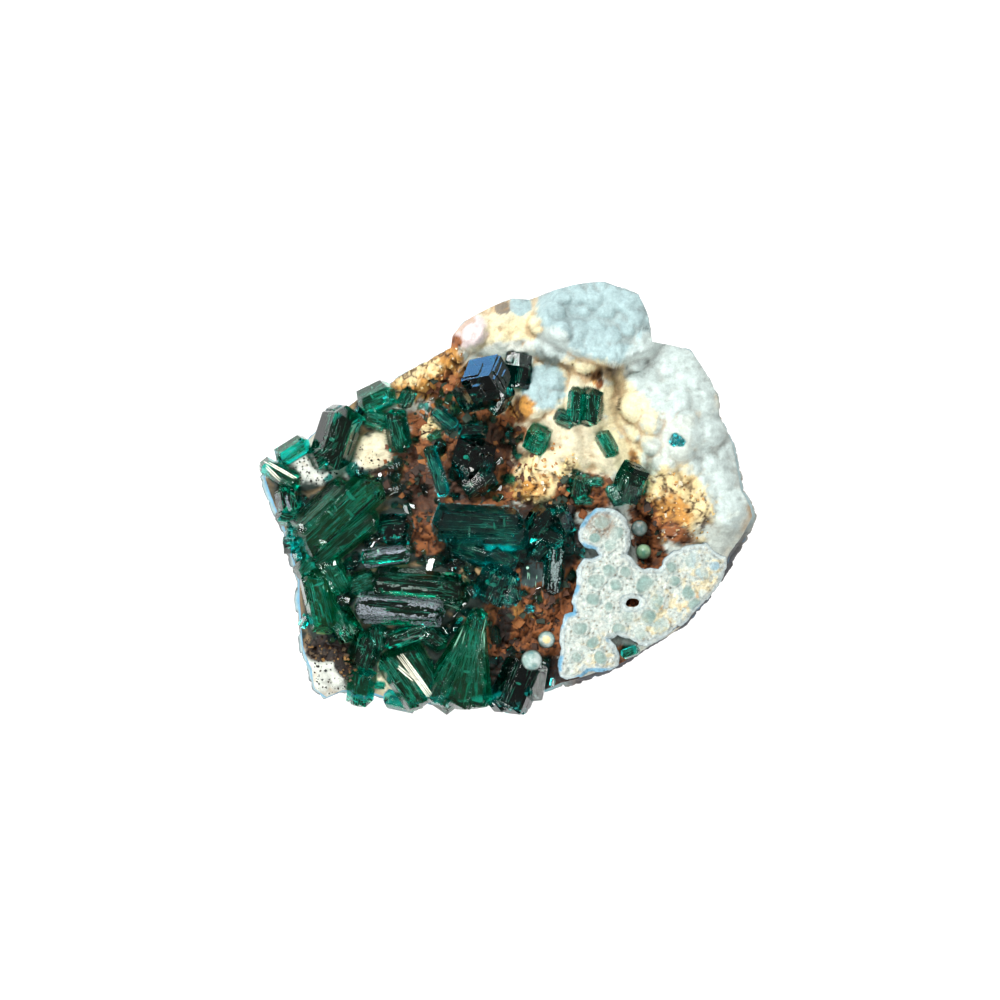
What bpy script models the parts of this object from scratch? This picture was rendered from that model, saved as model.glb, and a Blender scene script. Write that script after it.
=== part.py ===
"""A dioptase specimen: green hexagonal prisms on a piece of rock with a flat-cut underside.

Metres, +Z up. The specimen lies on its underside, which is at Z = 0, with the origin below its
middle. Sizes in this file are in millimetres unless a name says otherwise, and MM turns them into
metres where a mesh is made.
"""
import math

import bmesh
import bpy
import numpy as np
from mathutils import Vector, noise

MM = 0.001

# Driving dimensions
ROCK_LEVEL = 13.2
GAP = 0.3
EDGE_ROUNDING = 1.3
EDGE_BAND = 0.10
SIDE_NOISE = 1.5
TOP_CELLS = 26
CRUST_SEAT = 13.4
CRUST_THICKNESS = 2.7
CRUST_PITCH = 1.15
NODULE_RISE = 0.55
LUMP_SINK = 0.55
BED_SHARE = 0.42
BED_SLOPE = 1.1
TIP_RISE = 0.62
SEED = 11

# Rows of the rock's side, from the top edge down: how far inside the outline and how high,
# as a share of the height of the top edge there.
SIDE_ROWS = ((0.0, 0.80), (0.5, 0.52), (1.4, 0.26), (2.4, 0.08), (3.3, 0.0))

# The rock's outline seen from above, clockwise from its left tip
OUTLINE = (
    (-30.7, 2.6), (-29.5, 4.2), (-27.4, 5.6), (-25.1, 7.4), (-23.2, 9.0), (-20.5, 11.0),
    (-18.2, 12.8), (-14.9, 14.1), (-13.5, 15.2), (-10.1, 17.0), (-7.1, 18.7), (-6.9, 20.2),
    (-5.4, 21.9), (-3.3, 23.1), (-1.4, 24.0), (0.5, 24.7), (2.6, 24.6), (4.3, 25.2),
    (6.9, 26.0), (9.8, 26.6), (11.9, 26.7), (14.0, 25.9), (16.1, 25.1), (17.2, 22.9),
    (17.8, 19.3), (20.4, 18.9), (22.5, 18.3), (23.7, 16.8), (25.1, 14.5), (26.1, 12.3),
    (26.3, 10.2), (28.0, 6.8), (28.7, 3.8), (29.3, 0.9), (30.6, -1.2), (31.0, -2.3),
    (30.1, -4.6), (28.4, -7.6), (26.3, -10.9), (24.2, -13.5), (21.3, -16.5), (17.8, -18.6),
    (13.7, -21.2), (11.1, -22.1), (6.9, -23.5), (5.2, -24.2), (3.4, -24.9), (0.1, -25.8),
    (-3.3, -25.1), (-6.7, -25.8), (-9.2, -25.9), (-11.8, -25.5), (-14.8, -25.3), (-16.7, -24.7),
    (-18.0, -24.6), (-19.6, -24.2), (-20.9, -24.2), (-22.8, -25.0), (-24.3, -23.9),
    (-24.7, -21.5), (-25.8, -19.0), (-26.2, -14.8), (-26.4, -10.5), (-27.1, -8.0),
    (-28.3, -3.8), (-29.8, -0.4),
)

# The top edge lies inside the outline, most where the side shows from above.
# Each row: direction from the middle in degrees, and that distance.
TOP_INSET = ((-180, 1.0), (-150, 0.9), (-120, 0.8), (-75, 0.9), (-50, 0.7), (-35, 0.6), (-24, 0.9),
             (-14, 1.6), (0, 0.8), (25, 0.4), (90, 0.3), (140, 0.4), (165, 0.7), (180, 1.0))

# Broad forms of the rock's top: x, y, half length, half width, heading, rise and edge steepness
MOUNDS = {
    "blue_mass": (11.3, 21.6, 8.6, 5.8, -12, 4.8, 2.4),
    "blue_foot": (9.0, 17.8, 7.5, 4.5, -10, 1.6, 1.2),
    "pale_shoulder": (21.0, 13.0, 9.0, 7.5, -50, 3.0, 1.5),
    "pale_field": (16.5, 8.5, 9.5, 7.5, -30, 1.0, 1.2),
    "right_field": (24.0, 2.5, 8.5, 7.5, -60, 1.5, 1.3),
    "blue_knoll": (4.3, 12.9, 4.0, 3.6, 0, 3.0, 1.3),
    "cream_top": (0.8, 20.0, 7.5, 4.6, 10, 3.0, 1.2),
    "pink_corner": (-5.2, 20.6, 3.6, 3.0, 60, 2.2, 1.4),
    "ochre_ridge": (-10.4, 15.3, 5.6, 2.6, 28, 2.2, 1.2),
    "ochre_crumbs": (4.2, 2.6, 4.4, 4.0, 35, 1.7, 1.3),
    "ochre_right": (20.0, -1.6, 5.5, 4.2, -30, 0.9, 1.1),
    "white_ledge": (-24.6, 3.2, 4.4, 2.6, -10, 1.2, 1.3),
    "white_knob": (-16.2, 5.4, 3.0, 3.2, 0, 1.5, 1.3),
    "white_boulder": (-22.6, -21.8, 3.6, 3.9, 30, 1.6, 1.6),
    "left_shelf": (-19.5, -4.0, 8.5, 9.0, 0, 0.6, 1.0),
}
HOLLOWS = {
    "rusty_vug": (-6.0, -1.5, 7.5, 7.0, 20, 2.0, 1.2),
    "rusty_neck": (-0.8, 6.2, 5.5, 4.2, 60, 1.5, 1.2),
    "rusty_triangle": (1.2, -15.4, 5.4, 5.6, 20, 2.2, 1.5),
    "dark_slot": (-0.4, -15.6, 1.3, 2.6, -8, 2.4, 1.6),
    "behind_trio": (11.6, 13.6, 1.6, 1.5, 0, 2.2, 1.6),
    "rusty_right": (17.2, -4.8, 2.0, 4.6, 15, 1.8, 1.4),
    "bottom_slope": (-8.0, -26.5, 16.0, 5.5, 3, 3.4, 1.2),
    "left_slope": (-29.5, -7.0, 4.5, 9.0, 15, 1.8, 1.1),
    "boulder_clump": (-22.0, -17.8, 4.0, 2.4, 15, 1.2, 1.2),
}

# Fields of round lumps: x, y, half length, half width, heading, spacing, and the lumps' radius
LUMP_FIELDS = {
    "blue_mass": (11.0, 21.2, 7.6, 5.2, -12, 1.9, 1.5),
    "pale_field": (20.0, 9.0, 12.5, 9.0, -50, 2.5, 1.9),
    "cream_top": (1.0, 19.5, 7.5, 4.8, 8, 2.3, 1.7),
    "blue_knoll": (4.6, 12.8, 3.6, 3.4, 0, 2.4, 1.8),
    "ochre_crumbs": (4.4, 2.2, 4.2, 4.0, 30, 1.9, 1.3),
    "ochre_right": (20.4, -1.8, 5.0, 3.8, -30, 2.0, 1.3),
    "white_left": (-20.6, 4.6, 7.5, 3.0, 5, 2.1, 1.3),
    "boulder": (-22.6, -22.0, 3.4, 3.6, 30, 2.2, 1.6),
}
# Lumps that stand out on their own: x, y and radius
LONE_LUMPS = ((1.5, 23.4, 1.7), (-0.6, 23.1, 1.3), (6.6, 24.4, 1.6), (10.4, 24.2, 1.8))

# The crust plate's outline, from its upper end down its left side and round
CRUST_OUTLINE = (
    (10.8, -1.3), (9.8, -2.0), (9.1, -3.1), (8.5, -4.1), (8.5, -5.2), (9.4, -5.9), (10.8, -6.4),
    (11.1, -7.0), (10.5, -7.3), (9.3, -7.4), (8.4, -8.9), (8.4, -10.8), (7.8, -12.7), (8.0, -14.0),
    (7.0, -14.3), (6.5, -15.4), (6.4, -17.6), (6.4, -19.2), (6.1, -20.6), (6.3, -21.8),
    (7.2, -22.2), (8.9, -22.0), (9.8, -21.2), (12.4, -21.1), (13.4, -20.4), (13.6, -19.4),
    (13.1, -18.1), (12.3, -17.3), (13.4, -16.9), (14.9, -17.1), (15.7, -17.9), (17.0, -18.1),
    (19.5, -16.7), (21.2, -15.6), (23.2, -13.6), (24.5, -12.3), (25.8, -10.6), (26.7, -8.6),
    (26.6, -7.2), (25.5, -6.8), (24.2, -5.6), (21.7, -5.9), (20.3, -6.5), (18.9, -7.6),
    (18.4, -8.7), (17.6, -8.6), (16.5, -8.6), (15.6, -8.1), (14.7, -6.9), (14.9, -5.6),
    (14.9, -3.9), (14.4, -2.6), (13.4, -1.7), (12.1, -1.2),
)
CRUST_HOLE = (15.2, -12.8, 0.85, 0.6)
# Centres of the nodules that show as round spots
NODULES = (
    (10.6, -4.8), (13.2, -4.2), (12.6, -5.8), (11.4, -3.0), (12.3, -8.7), (14.4, -9.1),
    (10.8, -10.1), (13.2, -10.6), (16.7, -10.6), (10.2, -12.4), (12.3, -13.2), (18.2, -12.8),
    (20.0, -8.4), (20.3, -10.2), (21.9, -11.6), (22.9, -13.0), (22.6, -7.4), (23.8, -9.2),
    (25.2, -8.4), (14.6, -14.6), (13.7, -16.0), (17.1, -14.5), (18.6, -15.6), (16.1, -16.6),
    (9.0, -15.9), (10.4, -17.6), (8.4, -19.6), (11.2, -19.6),
)
NODULE_RADIUS = 1.05

# Crystals, each a row of a node: x and y of its middle, its highest point, the heading of its
# free end (anticlockwise from +X), how far that end is tilted up, its roll about its own axis,
# then its length, width and depth, and how much it widens towards its free end.
CRYSTALS = {
    "crystal_gem": (
        (-3.3, 13.9, 21.6, 45, 70, -8, 8.4, 6.6, 6.4, 0.0),
        (1.2, 15.6, 19.0, 82, 34, 30, 5.0, 3.7, 3.6, 0.0),
        (-1.0, 12.2, 17.9, 60, 40, 0, 4.6, 3.0, 3.0, 0.0),
    ),
    "crystal_domed": (
        (-4.3, 4.3, 18.0, 80, 52, 25, 6.6, 6.0, 5.4, 0.0),
        (-3.6, 2.4, 17.0, 40, 30, 0, 5.0, 4.4, 4.0, 0.0),
        (-4.3, 8.3, 15.6, 5, 8, 0, 4.0, 2.3, 2.6, 0.0),
    ),
    "crystal_slender": ((-8.7, 3.3, 16.4, -72, -8, 10, 7.0, 1.8, 1.9, 0.0),),
    "crystal_wide": (
        (-3.6, -3.3, 18.0, 177, 3, 8, 12.0, 5.3, 4.8, 0.0),
        (-4.6, -6.4, 15.6, 160, 4, 20, 6.2, 3.4, 3.6, 0.0),
        (-0.4, -4.6, 17.0, 182, 0, 0, 6.6, 4.2, 4.0, 0.0),
        (-0.8, -7.2, 15.2, 150, 6, 0, 4.4, 2.8, 3.0, 0.0),
    ),
    "crystals_blocky": (
        (3.7, -3.3, 17.6, 62, 34, 10, 5.4, 3.8, 3.6, 0.0),
        (6.4, -2.6, 17.0, 112, 38, 25, 4.6, 3.3, 3.2, 0.0),
        (5.3, -4.7, 16.4, -25, 15, 0, 4.2, 2.8, 2.8, 0.0),
        (1.6, -6.4, 16.0, 80, 20, 5, 3.4, 2.8, 3.0, 0.0),
        (4.2, -6.4, 16.3, 45, 14, 0, 3.4, 2.6, 2.8, 0.0),
        (7.2, -5.6, 15.8, 100, 10, 10, 3.2, 2.4, 2.6, 0.0),
    ),
    "crystal_square_dark": ((-13.8, -3.8, 17.2, 4, 8, 5, 4.8, 4.2, 4.0, 0.0),),
    "crystal_frosted_small": ((-15.0, -7.2, 16.6, 7, 2, 0, 6.5, 2.6, 2.8, 0.0),),
    "crystals_left_striated": (
        (-20.7, -2.2, 18.0, 43, 5, 8, 13.2, 5.2, 5.0, 0.0),
        (-22.6, -1.4, 17.0, 43, 2, 20, 9.4, 4.0, 4.4, 0.0),
        (-20.0, -5.0, 16.4, 38, 4, 0, 10.6, 3.4, 4.0, 0.0),
        (-17.6, 0.4, 16.8, 35, 10, 0, 5.6, 3.2, 3.6, 0.0),
    ),
    "crystals_left_tip": (
        (-28.0, 3.0, 15.6, 151, 3, 10, 5.8, 2.4, 3.2, 0.0),
        (-26.9, -0.1, 15.8, 100, 15, 0, 4.2, 3.5, 3.6, 0.0),
        (-26.7, -2.5, 14.6, 168, 2, 0, 4.0, 2.3, 3.0, 0.0),
        (-26.2, -4.6, 13.8, 120, 6, 20, 2.6, 2.2, 2.4, 0.0),
    ),
    "crystals_left_pointed": (
        (-22.9, -12.6, 17.4, -77, -4, 12, 8.6, 4.3, 4.8, 0.0),
        (-21.3, -9.6, 16.6, -60, 8, 0, 5.4, 3.8, 4.0, 0.0),
        (-24.2, -8.2, 15.2, 48, 4, 0, 4.8, 3.0, 3.4, 0.0),
        (-17.9, -10.4, 15.3, 22, 4, 0, 4.2, 3.0, 3.2, 0.0),
        (-20.0, -15.5, 15.8, -58, 4, 20, 4.8, 3.6, 4.0, 0.0),
    ),
    "crystals_long_pair": (
        (-10.8, -10.8, 18.2, -6, 4, 5, 12.4, 4.4, 4.6, 0.0),
        (-13.2, -13.6, 17.0, -3, 3, -6, 11.8, 4.3, 4.4, 0.0),
        (-6.9, -11.6, 17.4, -25, 8, 15, 5.0, 4.0, 4.2, 0.0),
    ),
    "crystals_below_pair": (
        (-12.3, -16.9, 15.6, 18, 4, 10, 6.5, 2.8, 3.0, 0.0),
        (-9.3, -17.0, 15.0, -35, 4, 0, 4.4, 2.8, 3.0, 0.0),
        (-16.0, -17.2, 14.8, 100, 4, 0, 3.8, 2.6, 3.0, 0.0),
    ),
    "crystals_bottom_left": (
        (-17.6, -18.7, 15.2, 72, 8, 5, 5.4, 3.9, 4.0, 0.0),
        (-18.0, -23.2, 14.4, -97, -14, 0, 5.4, 3.6, 3.8, 0.0),
    ),
    "crystals_cleaved": (
        (-12.8, -22.3, 15.8, -56, -3, 8, 8.8, 3.9, 4.2, 0.0),
        (-10.5, -21.4, 15.0, -60, -2, 0, 8.4, 3.4, 4.0, 0.0),
        (-13.2, -25.0, 12.4, -12, 0, 0, 4.6, 2.5, 3.2, 0.0),
    ),
    "crystals_fan": (
        (-5.7, -19.6, 16.8, 76, 6, 4, 13.4, 4.0, 4.4, -0.42),
        (-7.4, -20.4, 16.2, 64, 6, 10, 11.8, 3.6, 4.2, -0.42),
        (-4.2, -20.2, 16.4, 88, 5, 0, 12.0, 3.6, 4.2, -0.42),
        (-8.0, -24.4, 13.2, -35, -4, 0, 4.6, 3.4, 3.4, 0.0),
    ),
    "crystals_bottom_dark": (
        (1.2, -22.7, 16.4, 68, 8, 8, 8.4, 5.6, 5.2, 0.0),
        (3.0, -22.0, 15.6, 80, 6, 20, 6.4, 3.9, 4.4, 0.0),
        (-0.4, -24.0, 14.6, 60, 4, 0, 5.4, 3.6, 4.0, 0.0),
    ),
    "crystal_blue": (
        (-1.5, -10.5, 17.4, 68, 22, 10, 5.8, 5.0, 4.6, 0.0),
        (0.2, -11.4, 16.6, 95, 14, 0, 4.2, 3.0, 3.4, 0.0),
    ),
    "crystals_frosted_centre": (
        (2.9, -9.3, 16.6, 90, 26, 8, 3.8, 2.8, 3.0, 0.0),
        (5.6, -8.7, 17.0, 86, 8, 10, 6.6, 2.9, 3.4, 0.0),
    ),
    "crystal_upper_left_end": ((-26.4, 5.9, 15.4, 32, 3, 8, 4.9, 2.7, 3.0, 0.0),),
    "crystal_upper_left_big": (
        (-21.0, 7.4, 17.9, 72, 10, 6, 8.8, 5.6, 5.2, 0.0),
        (-22.0, 5.6, 16.8, 40, 6, 0, 5.4, 4.0, 4.2, 0.0),
    ),
    "crystals_upper_left_pale": (
        (-16.1, 12.3, 16.8, 26, 5, 8, 5.2, 3.8, 3.8, 0.0),
        (-16.3, 9.6, 15.6, -18, 4, 0, 3.3, 2.4, 2.6, 0.0),
    ),
    "crystal_ochre_edge": ((-13.5, 8.2, 16.4, -78, 4, 10, 5.8, 3.1, 3.2, 0.0),),
    "crystal_ochre_small": ((-12.4, 12.2, 16.2, 62, 12, 5, 2.9, 2.0, 2.2, 0.0),),
    "crystal_teal_small": ((-7.8, 9.6, 14.9, -42, 6, 5, 4.2, 2.2, 2.4, 0.0),),
    "crystal_small_gem": ((3.5, 7.2, 16.4, 72, 34, 15, 4.0, 3.2, 3.0, 0.0),),
    "crystals_trio": (
        (10.1, 11.1, 19.0, 84, 12, 8, 5.0, 3.0, 3.2, 0.0),
        (8.3, 11.2, 18.6, 86, 8, -5, 5.0, 2.3, 2.8, 0.0),
        (6.9, 9.7, 17.4, 160, 6, 5, 2.8, 2.0, 2.2, 0.0),
    ),
    "crystal_single_bright": ((12.1, 6.6, 17.4, -60, 6, 6, 3.7, 2.2, 2.4, 0.0),),
    "crystals_right_dark": (
        (15.0, 1.9, 18.6, 76, 48, 12, 5.4, 4.4, 4.2, 0.0),
        (13.1, 0.4, 16.2, -58, 10, 0, 3.2, 2.0, 2.2, 0.0),
    ),
    "crystals_with_arm": (
        (8.7, 1.5, 16.0, 80, 26, 10, 3.9, 3.0, 3.0, 0.0),
        (10.4, 2.0, 15.2, 0, 4, 0, 2.8, 1.2, 1.4, 0.0),
    ),
    "crystal_sliver": ((9.2, -0.4, 14.8, 2, 0, 5, 2.6, 0.9, 1.6, 0.0),),
    "crystals_turquoise": (
        (20.3, 7.1, 18.2, 70, 35, 5, 1.7, 1.1, 1.1, 0.0),
        (21.0, 6.9, 18.0, 120, 30, 10, 1.5, 1.0, 1.0, 0.0),
    ),
    "crystal_turquoise_speck": ((2.8, -13.6, 13.6, 5, 12, 5, 1.6, 0.9, 1.1, 0.0),),
    "crystal_under_crust": ((15.0, -18.9, 14.3, 20, 5, 5, 2.6, 1.4, 1.8, 0.0),),
}

# Round balls: x, y, height of the middle, radius
SPHERULES = {
    "spherule_large": (2.9, -19.8, 16.7, 1.33),
    "spherule_ochre_core": (4.7, -17.3, 15.3, 1.1),
    "spherule_grey_green": (16.1, -3.7, 13.9, 1.05),
    "spherule_pale_green": (16.6, -6.6, 13.4, 1.0),
}
SPHERULE_SEGMENTS = 8
SPHERULE_RINGS = 5

# Colour, roughness, and how clear each material is
DIOPTASE = ((0.0, 0.16, 0.09, 1.0), 0.12, 0.6)
ROCK = ((0.55, 0.50, 0.38, 1.0), 0.9, 0.0)
CRUST = ((0.70, 0.76, 0.72, 1.0), 0.85, 0.0)
SPHERULE = ((0.62, 0.72, 0.64, 1.0), 0.5, 0.0)


def clear_scene():
    for thing in list(bpy.data.objects):
        bpy.data.objects.remove(thing, do_unlink=True)


def material(name, look):
    colour, roughness, clearness = look
    made = bpy.data.materials.new(name)
    made.use_nodes = True
    shader = made.node_tree.nodes["Principled BSDF"]
    shader.inputs["Base Color"].default_value = colour
    shader.inputs["Roughness"].default_value = roughness
    shader.inputs["Metallic"].default_value = 0.0
    shader.inputs["Transmission Weight"].default_value = clearness
    made.diffuse_color = colour
    return made


def object_from(bm, name, look=None):
    """An object in the scene from a bmesh in millimetres, which it frees."""
    bmesh.ops.scale(bm, vec=(MM, MM, MM), verts=bm.verts)
    bmesh.ops.recalc_face_normals(bm, faces=bm.faces)
    mesh = bpy.data.meshes.new(name)
    bm.to_mesh(mesh)
    bm.free()
    made = bpy.data.objects.new(name, mesh)
    bpy.context.scene.collection.objects.link(made)
    if look is not None:
        mesh.materials.append(material(name, look))
    return made


def boolean(target, cutter, operation):
    """Applies one Boolean to target and removes the cutter."""
    modifier = target.modifiers.new(operation.lower(), "BOOLEAN")
    modifier.operation = operation
    modifier.solver = "EXACT"
    modifier.object = cutter
    graph = bpy.context.evaluated_depsgraph_get()
    result = bpy.data.meshes.new_from_object(target.evaluated_get(graph))
    target.modifiers.clear()
    target.data = result
    bpy.data.objects.remove(cutter, do_unlink=True)


def volume_of(faces):
    total = 0.0
    for face in faces:
        corners = [vert.co for vert in face.verts]
        for second, third in zip(corners[1:], corners[2:]):
            total += corners[0].dot(second.cross(third)) / 6.0
    return total


def keep_largest_body(target):
    """Drops the crumbs that a cut may leave loose."""
    bm = bmesh.new()
    bm.from_mesh(target.data)
    left = set(bm.faces)
    bodies = []
    while left:
        body = set()
        edge_of_search = [left.pop()]
        while edge_of_search:
            face = edge_of_search.pop()
            body.add(face)
            for edge in face.edges:
                for neighbour in edge.link_faces:
                    if neighbour in left:
                        left.remove(neighbour)
                        edge_of_search.append(neighbour)
        bodies.append(body)
    bodies.sort(key=volume_of)
    crumbs = [face for body in bodies[:-1] for face in body]
    bmesh.ops.delete(bm, geom=crumbs, context="FACES")
    bm.to_mesh(target.data)
    bm.free()


def smoothstep(value):
    value = np.clip(value, 0.0, 1.0)
    return value * value * (3.0 - 2.0 * value)


def distance_share(x, y, centre_x, centre_y, half_x, half_y, heading):
    """0 in the middle of an ellipse, 1 on its edge."""
    turn = math.radians(heading)
    along = (x - centre_x) * math.cos(turn) + (y - centre_y) * math.sin(turn)
    across = (y - centre_y) * math.cos(turn) - (x - centre_x) * math.sin(turn)
    return (along / half_x) ** 2 + (across / half_y) ** 2


def broad_level(x, y):
    """The height of the rock's top without its round lumps."""
    level = np.full_like(x, ROCK_LEVEL)
    for sign, forms in ((1.0, MOUNDS), (-1.0, HOLLOWS)):
        for *ellipse, rise, steepness in forms.values():
            share = distance_share(x, y, *ellipse)
            level += sign * rise * smoothstep((1.0 - share) * steepness)
    rough = [noise.noise(Vector((a * 0.35, b * 0.35, 2.0))) for a, b in zip(x, y)]
    return level + 0.5 * np.array(rough)


def lump_list():
    """Centres, heights and radii of the round lumps, spaced at random but the same each run."""
    random = np.random.default_rng(SEED)
    lumps = [(x, y, radius) for x, y, radius in LONE_LUMPS]
    for centre_x, centre_y, half_x, half_y, heading, spacing, radius in LUMP_FIELDS.values():
        tries = int(12 * half_x * half_y / spacing**2) * 4
        turn = math.radians(heading)
        for _ in range(tries):
            along, across = random.uniform(-1, 1, 2)
            size = radius * random.uniform(0.8, 1.15)
            if along**2 + across**2 > 1:
                continue
            x = centre_x + along * half_x * math.cos(turn) - across * half_y * math.sin(turn)
            y = centre_y + along * half_x * math.sin(turn) + across * half_y * math.cos(turn)
            if all((x - a) ** 2 + (y - b) ** 2 > spacing**2 for a, b, _ in lumps):
                lumps.append((x, y, size))
    return np.array(lumps)


def lowest_point(crystal):
    """About how low a prism reaches."""
    tilt = math.radians(abs(crystal[4]))
    length, depth = crystal[6], crystal[8]
    return crystal[2] - 0.93 * (length * math.sin(tilt) + depth * math.cos(tilt))


def crystal_beds(x, y):
    """The height to which the rock rises round each crystal's foot."""
    bed = np.full_like(x, 0.0)
    for rows in CRYSTALS.values():
        for crystal in rows:
            middle_x, middle_y, _, heading, tilt, _, length, width, depth, _ = crystal
            lean = math.radians(abs(tilt))
            half_length = (length * math.cos(lean) + depth * math.sin(lean)) / 2
            share = np.sqrt(distance_share(x, y, middle_x, middle_y, half_length, width / 2,
                                           heading))
            away = np.clip(share - 0.85, 0.0, None) * width / 2
            height = lowest_point(crystal) + BED_SHARE * depth
            bed = np.maximum(bed, height - BED_SLOPE * away)
    return bed


def rock_level(x, y, lumps):
    """The height of the rock's top, lumps included."""
    level = np.maximum(broad_level(x, y), crystal_beds(x, y))
    feet = broad_level(lumps[:, 0], lumps[:, 1])
    for (lump_x, lump_y, radius), foot in zip(lumps, feet):
        inside = radius**2 - (x - lump_x) ** 2 - (y - lump_y) ** 2
        ball = foot - LUMP_SINK * radius + np.sqrt(np.clip(inside, 0.0, None))
        level = np.where(inside > 0, np.maximum(level, ball), level)
    return level


def inside_outline(x, y, points):
    """Which of the places lie inside an outline."""
    inside = np.zeros(x.shape, bool)
    for (start_x, start_y), (end_x, end_y) in zip(points, points[1:] + points[:1]):
        if start_y == end_y:
            continue
        crossing = start_x + (y - start_y) * (end_x - start_x) / (end_y - start_y)
        inside ^= ((start_y > y) != (end_y > y)) & (x < crossing)
    return inside


def outline_reach(angle):
    """Distance from the middle to the rock's outline in a direction."""
    points = np.array(OUTLINE)
    angles = np.arctan2(points[:, 1], points[:, 0])
    order = np.argsort(angles)
    reach = np.hypot(points[:, 0], points[:, 1])[order]
    return np.interp(angle, angles[order], reach, period=2 * math.pi)


def disc_grid(cells):
    """A square grid laid evenly over a disc: polar angle and share of the radius, per point."""
    steps = np.linspace(-1.0, 1.0, cells + 1)
    u, v = np.meshgrid(steps, steps, indexing="ij")
    wide = np.abs(u) >= np.abs(v)
    safe_u = np.where(u == 0, 1.0, u)
    safe_v = np.where(v == 0, 1.0, v)
    radius = np.where(wide, u, v)
    angle = np.where(wide, math.pi / 4 * v / safe_u, math.pi / 2 - math.pi / 4 * u / safe_v)
    x = radius * np.cos(angle)
    y = radius * np.sin(angle)
    return np.arctan2(y, x), np.hypot(x, y)


def rim_walk(cells):
    """Grid places of the rim, anticlockwise."""
    walk = [(cells, j) for j in range(cells)]
    walk += [(i, cells) for i in range(cells, 0, -1)]
    walk += [(0, j) for j in range(cells, 0, -1)]
    walk += [(i, 0) for i in range(cells)]
    return walk


def make_matrix():
    """The rock: a lumpy top over a disc grid, a broken side and a flat underside."""
    cells = TOP_CELLS
    angle, share = disc_grid(cells)
    directions, insets = zip(*TOP_INSET)
    inset = np.interp(np.degrees(angle), directions, insets)
    reach = outline_reach(angle.ravel()).reshape(angle.shape)
    x = share * (reach - inset) * np.cos(angle)
    y = share * (reach - inset) * np.sin(angle)
    level = rock_level(x.ravel(), y.ravel(), lump_list()).reshape(x.shape)
    level -= EDGE_ROUNDING * smoothstep((share - 1.0 + EDGE_BAND) / EDGE_BAND) ** 2
    below_crust = inside_outline(x, y, CRUST_OUTLINE)
    level = np.where(below_crust, np.maximum(level, CRUST_SEAT + GAP), level)

    bm = bmesh.new()
    top = {}
    for i in range(cells + 1):
        for j in range(cells + 1):
            top[i, j] = bm.verts.new((x[i, j], y[i, j], level[i, j]))
    for i in range(cells):
        for j in range(cells):
            bm.faces.new((top[i, j], top[i + 1, j], top[i + 1, j + 1], top[i, j + 1]))

    upper = [top[place] for place in rim_walk(cells)]
    rim_angles = [angle[place] for place in rim_walk(cells)]
    rim_reach = [reach[place] for place in rim_walk(cells)]
    rim_level = [level[place] for place in rim_walk(cells)]
    for inside, height_share in SIDE_ROWS:
        lower = []
        for turn, far, high in zip(rim_angles, rim_reach, rim_level):
            height = high * height_share
            place = Vector((8 * math.cos(turn), 8 * math.sin(turn), height * 0.25))
            rough = SIDE_NOISE * abs(noise.noise(place)) if 0.0 < height_share < 0.8 else 0.0
            out = far - inside - rough
            lower.append(bm.verts.new((out * math.cos(turn), out * math.sin(turn), height)))
        for k in range(len(upper)):
            after = (k + 1) % len(upper)
            bm.faces.new((upper[k], lower[k], lower[after], upper[after]))
        upper = lower
    bm.faces.new(upper)
    bmesh.ops.triangulate(bm, faces=[face for face in bm.faces if len(face.verts) == 4])
    return object_from(bm, "matrix", ROCK)


def prism_into(bm, crystal, grow=0.0):
    """Adds one hexagonal prism, closed by three rhombohedral faces at each end."""
    x, y, top, heading, tilt, roll, length, width, depth, widening = crystal
    half_width = width / 2 + grow
    half_depth = depth / 2 / math.sin(math.radians(60)) + grow
    radius = (half_width + half_depth) / 2
    half_length = length / 2 + grow
    rise = TIP_RISE * radius
    corners = []
    for end in (-1.0, 1.0):
        for k in range(6):
            turn = math.radians(60 * k)
            drop = rise * (1.0 if (k % 2 == 0) == (end > 0) else 0.5)
            corners.append((math.cos(turn), math.sin(turn), end * (half_length - drop)))
    corners.append((0.0, 0.0, -half_length))
    corners.append((0.0, 0.0, half_length))

    forward, rise_angle, spin = (math.radians(value) for value in (heading, tilt, roll))
    axis = Vector((math.cos(forward) * math.cos(rise_angle),
                   math.sin(forward) * math.cos(rise_angle),
                   math.sin(rise_angle)))
    side = Vector((0, 0, 1)).cross(axis).normalized()
    up = axis.cross(side)
    points = []
    for a, b, along in corners:
        wide = 1.0 + widening * along / half_length
        a *= half_width * wide
        b *= half_depth * wide
        turned_a = a * math.cos(spin) - b * math.sin(spin)
        turned_b = a * math.sin(spin) + b * math.cos(spin)
        points.append(side * turned_a + up * turned_b + axis * along)
    lowest, highest = ([pick(point[k] for point in points) for k in range(3)] for pick in (min, max))
    shift = Vector((x - (lowest[0] + highest[0]) / 2,
                    y - (lowest[1] + highest[1]) / 2,
                    top + grow - highest[2]))
    verts = [bm.verts.new(point + shift) for point in points]
    back, front = verts[0:6], verts[6:12]
    for k in range(6):
        after = (k + 1) % 6
        bm.faces.new((back[k], back[after], front[after], front[k]))
    for ring, apex, low in ((back, verts[12], 1), (front, verts[13], 0)):
        for k in range(low, 6, 2):
            bm.faces.new((apex, ring[k - 1], ring[k], ring[(k + 1) % 6]))
    bmesh.ops.recalc_face_normals(bm, faces=bm.faces)


def prism_object(name, crystal, grow=0.0, look=None):
    bm = bmesh.new()
    prism_into(bm, crystal, grow)
    return object_from(bm, name, look)


def make_crystals(name, rows):
    """One node: its prisms joined in one solid."""
    made = prism_object(name, rows[0], 0.0, DIOPTASE)
    for row in rows[1:]:
        boolean(made, prism_object("part_of_" + name, row), "UNION")
    return made


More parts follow.
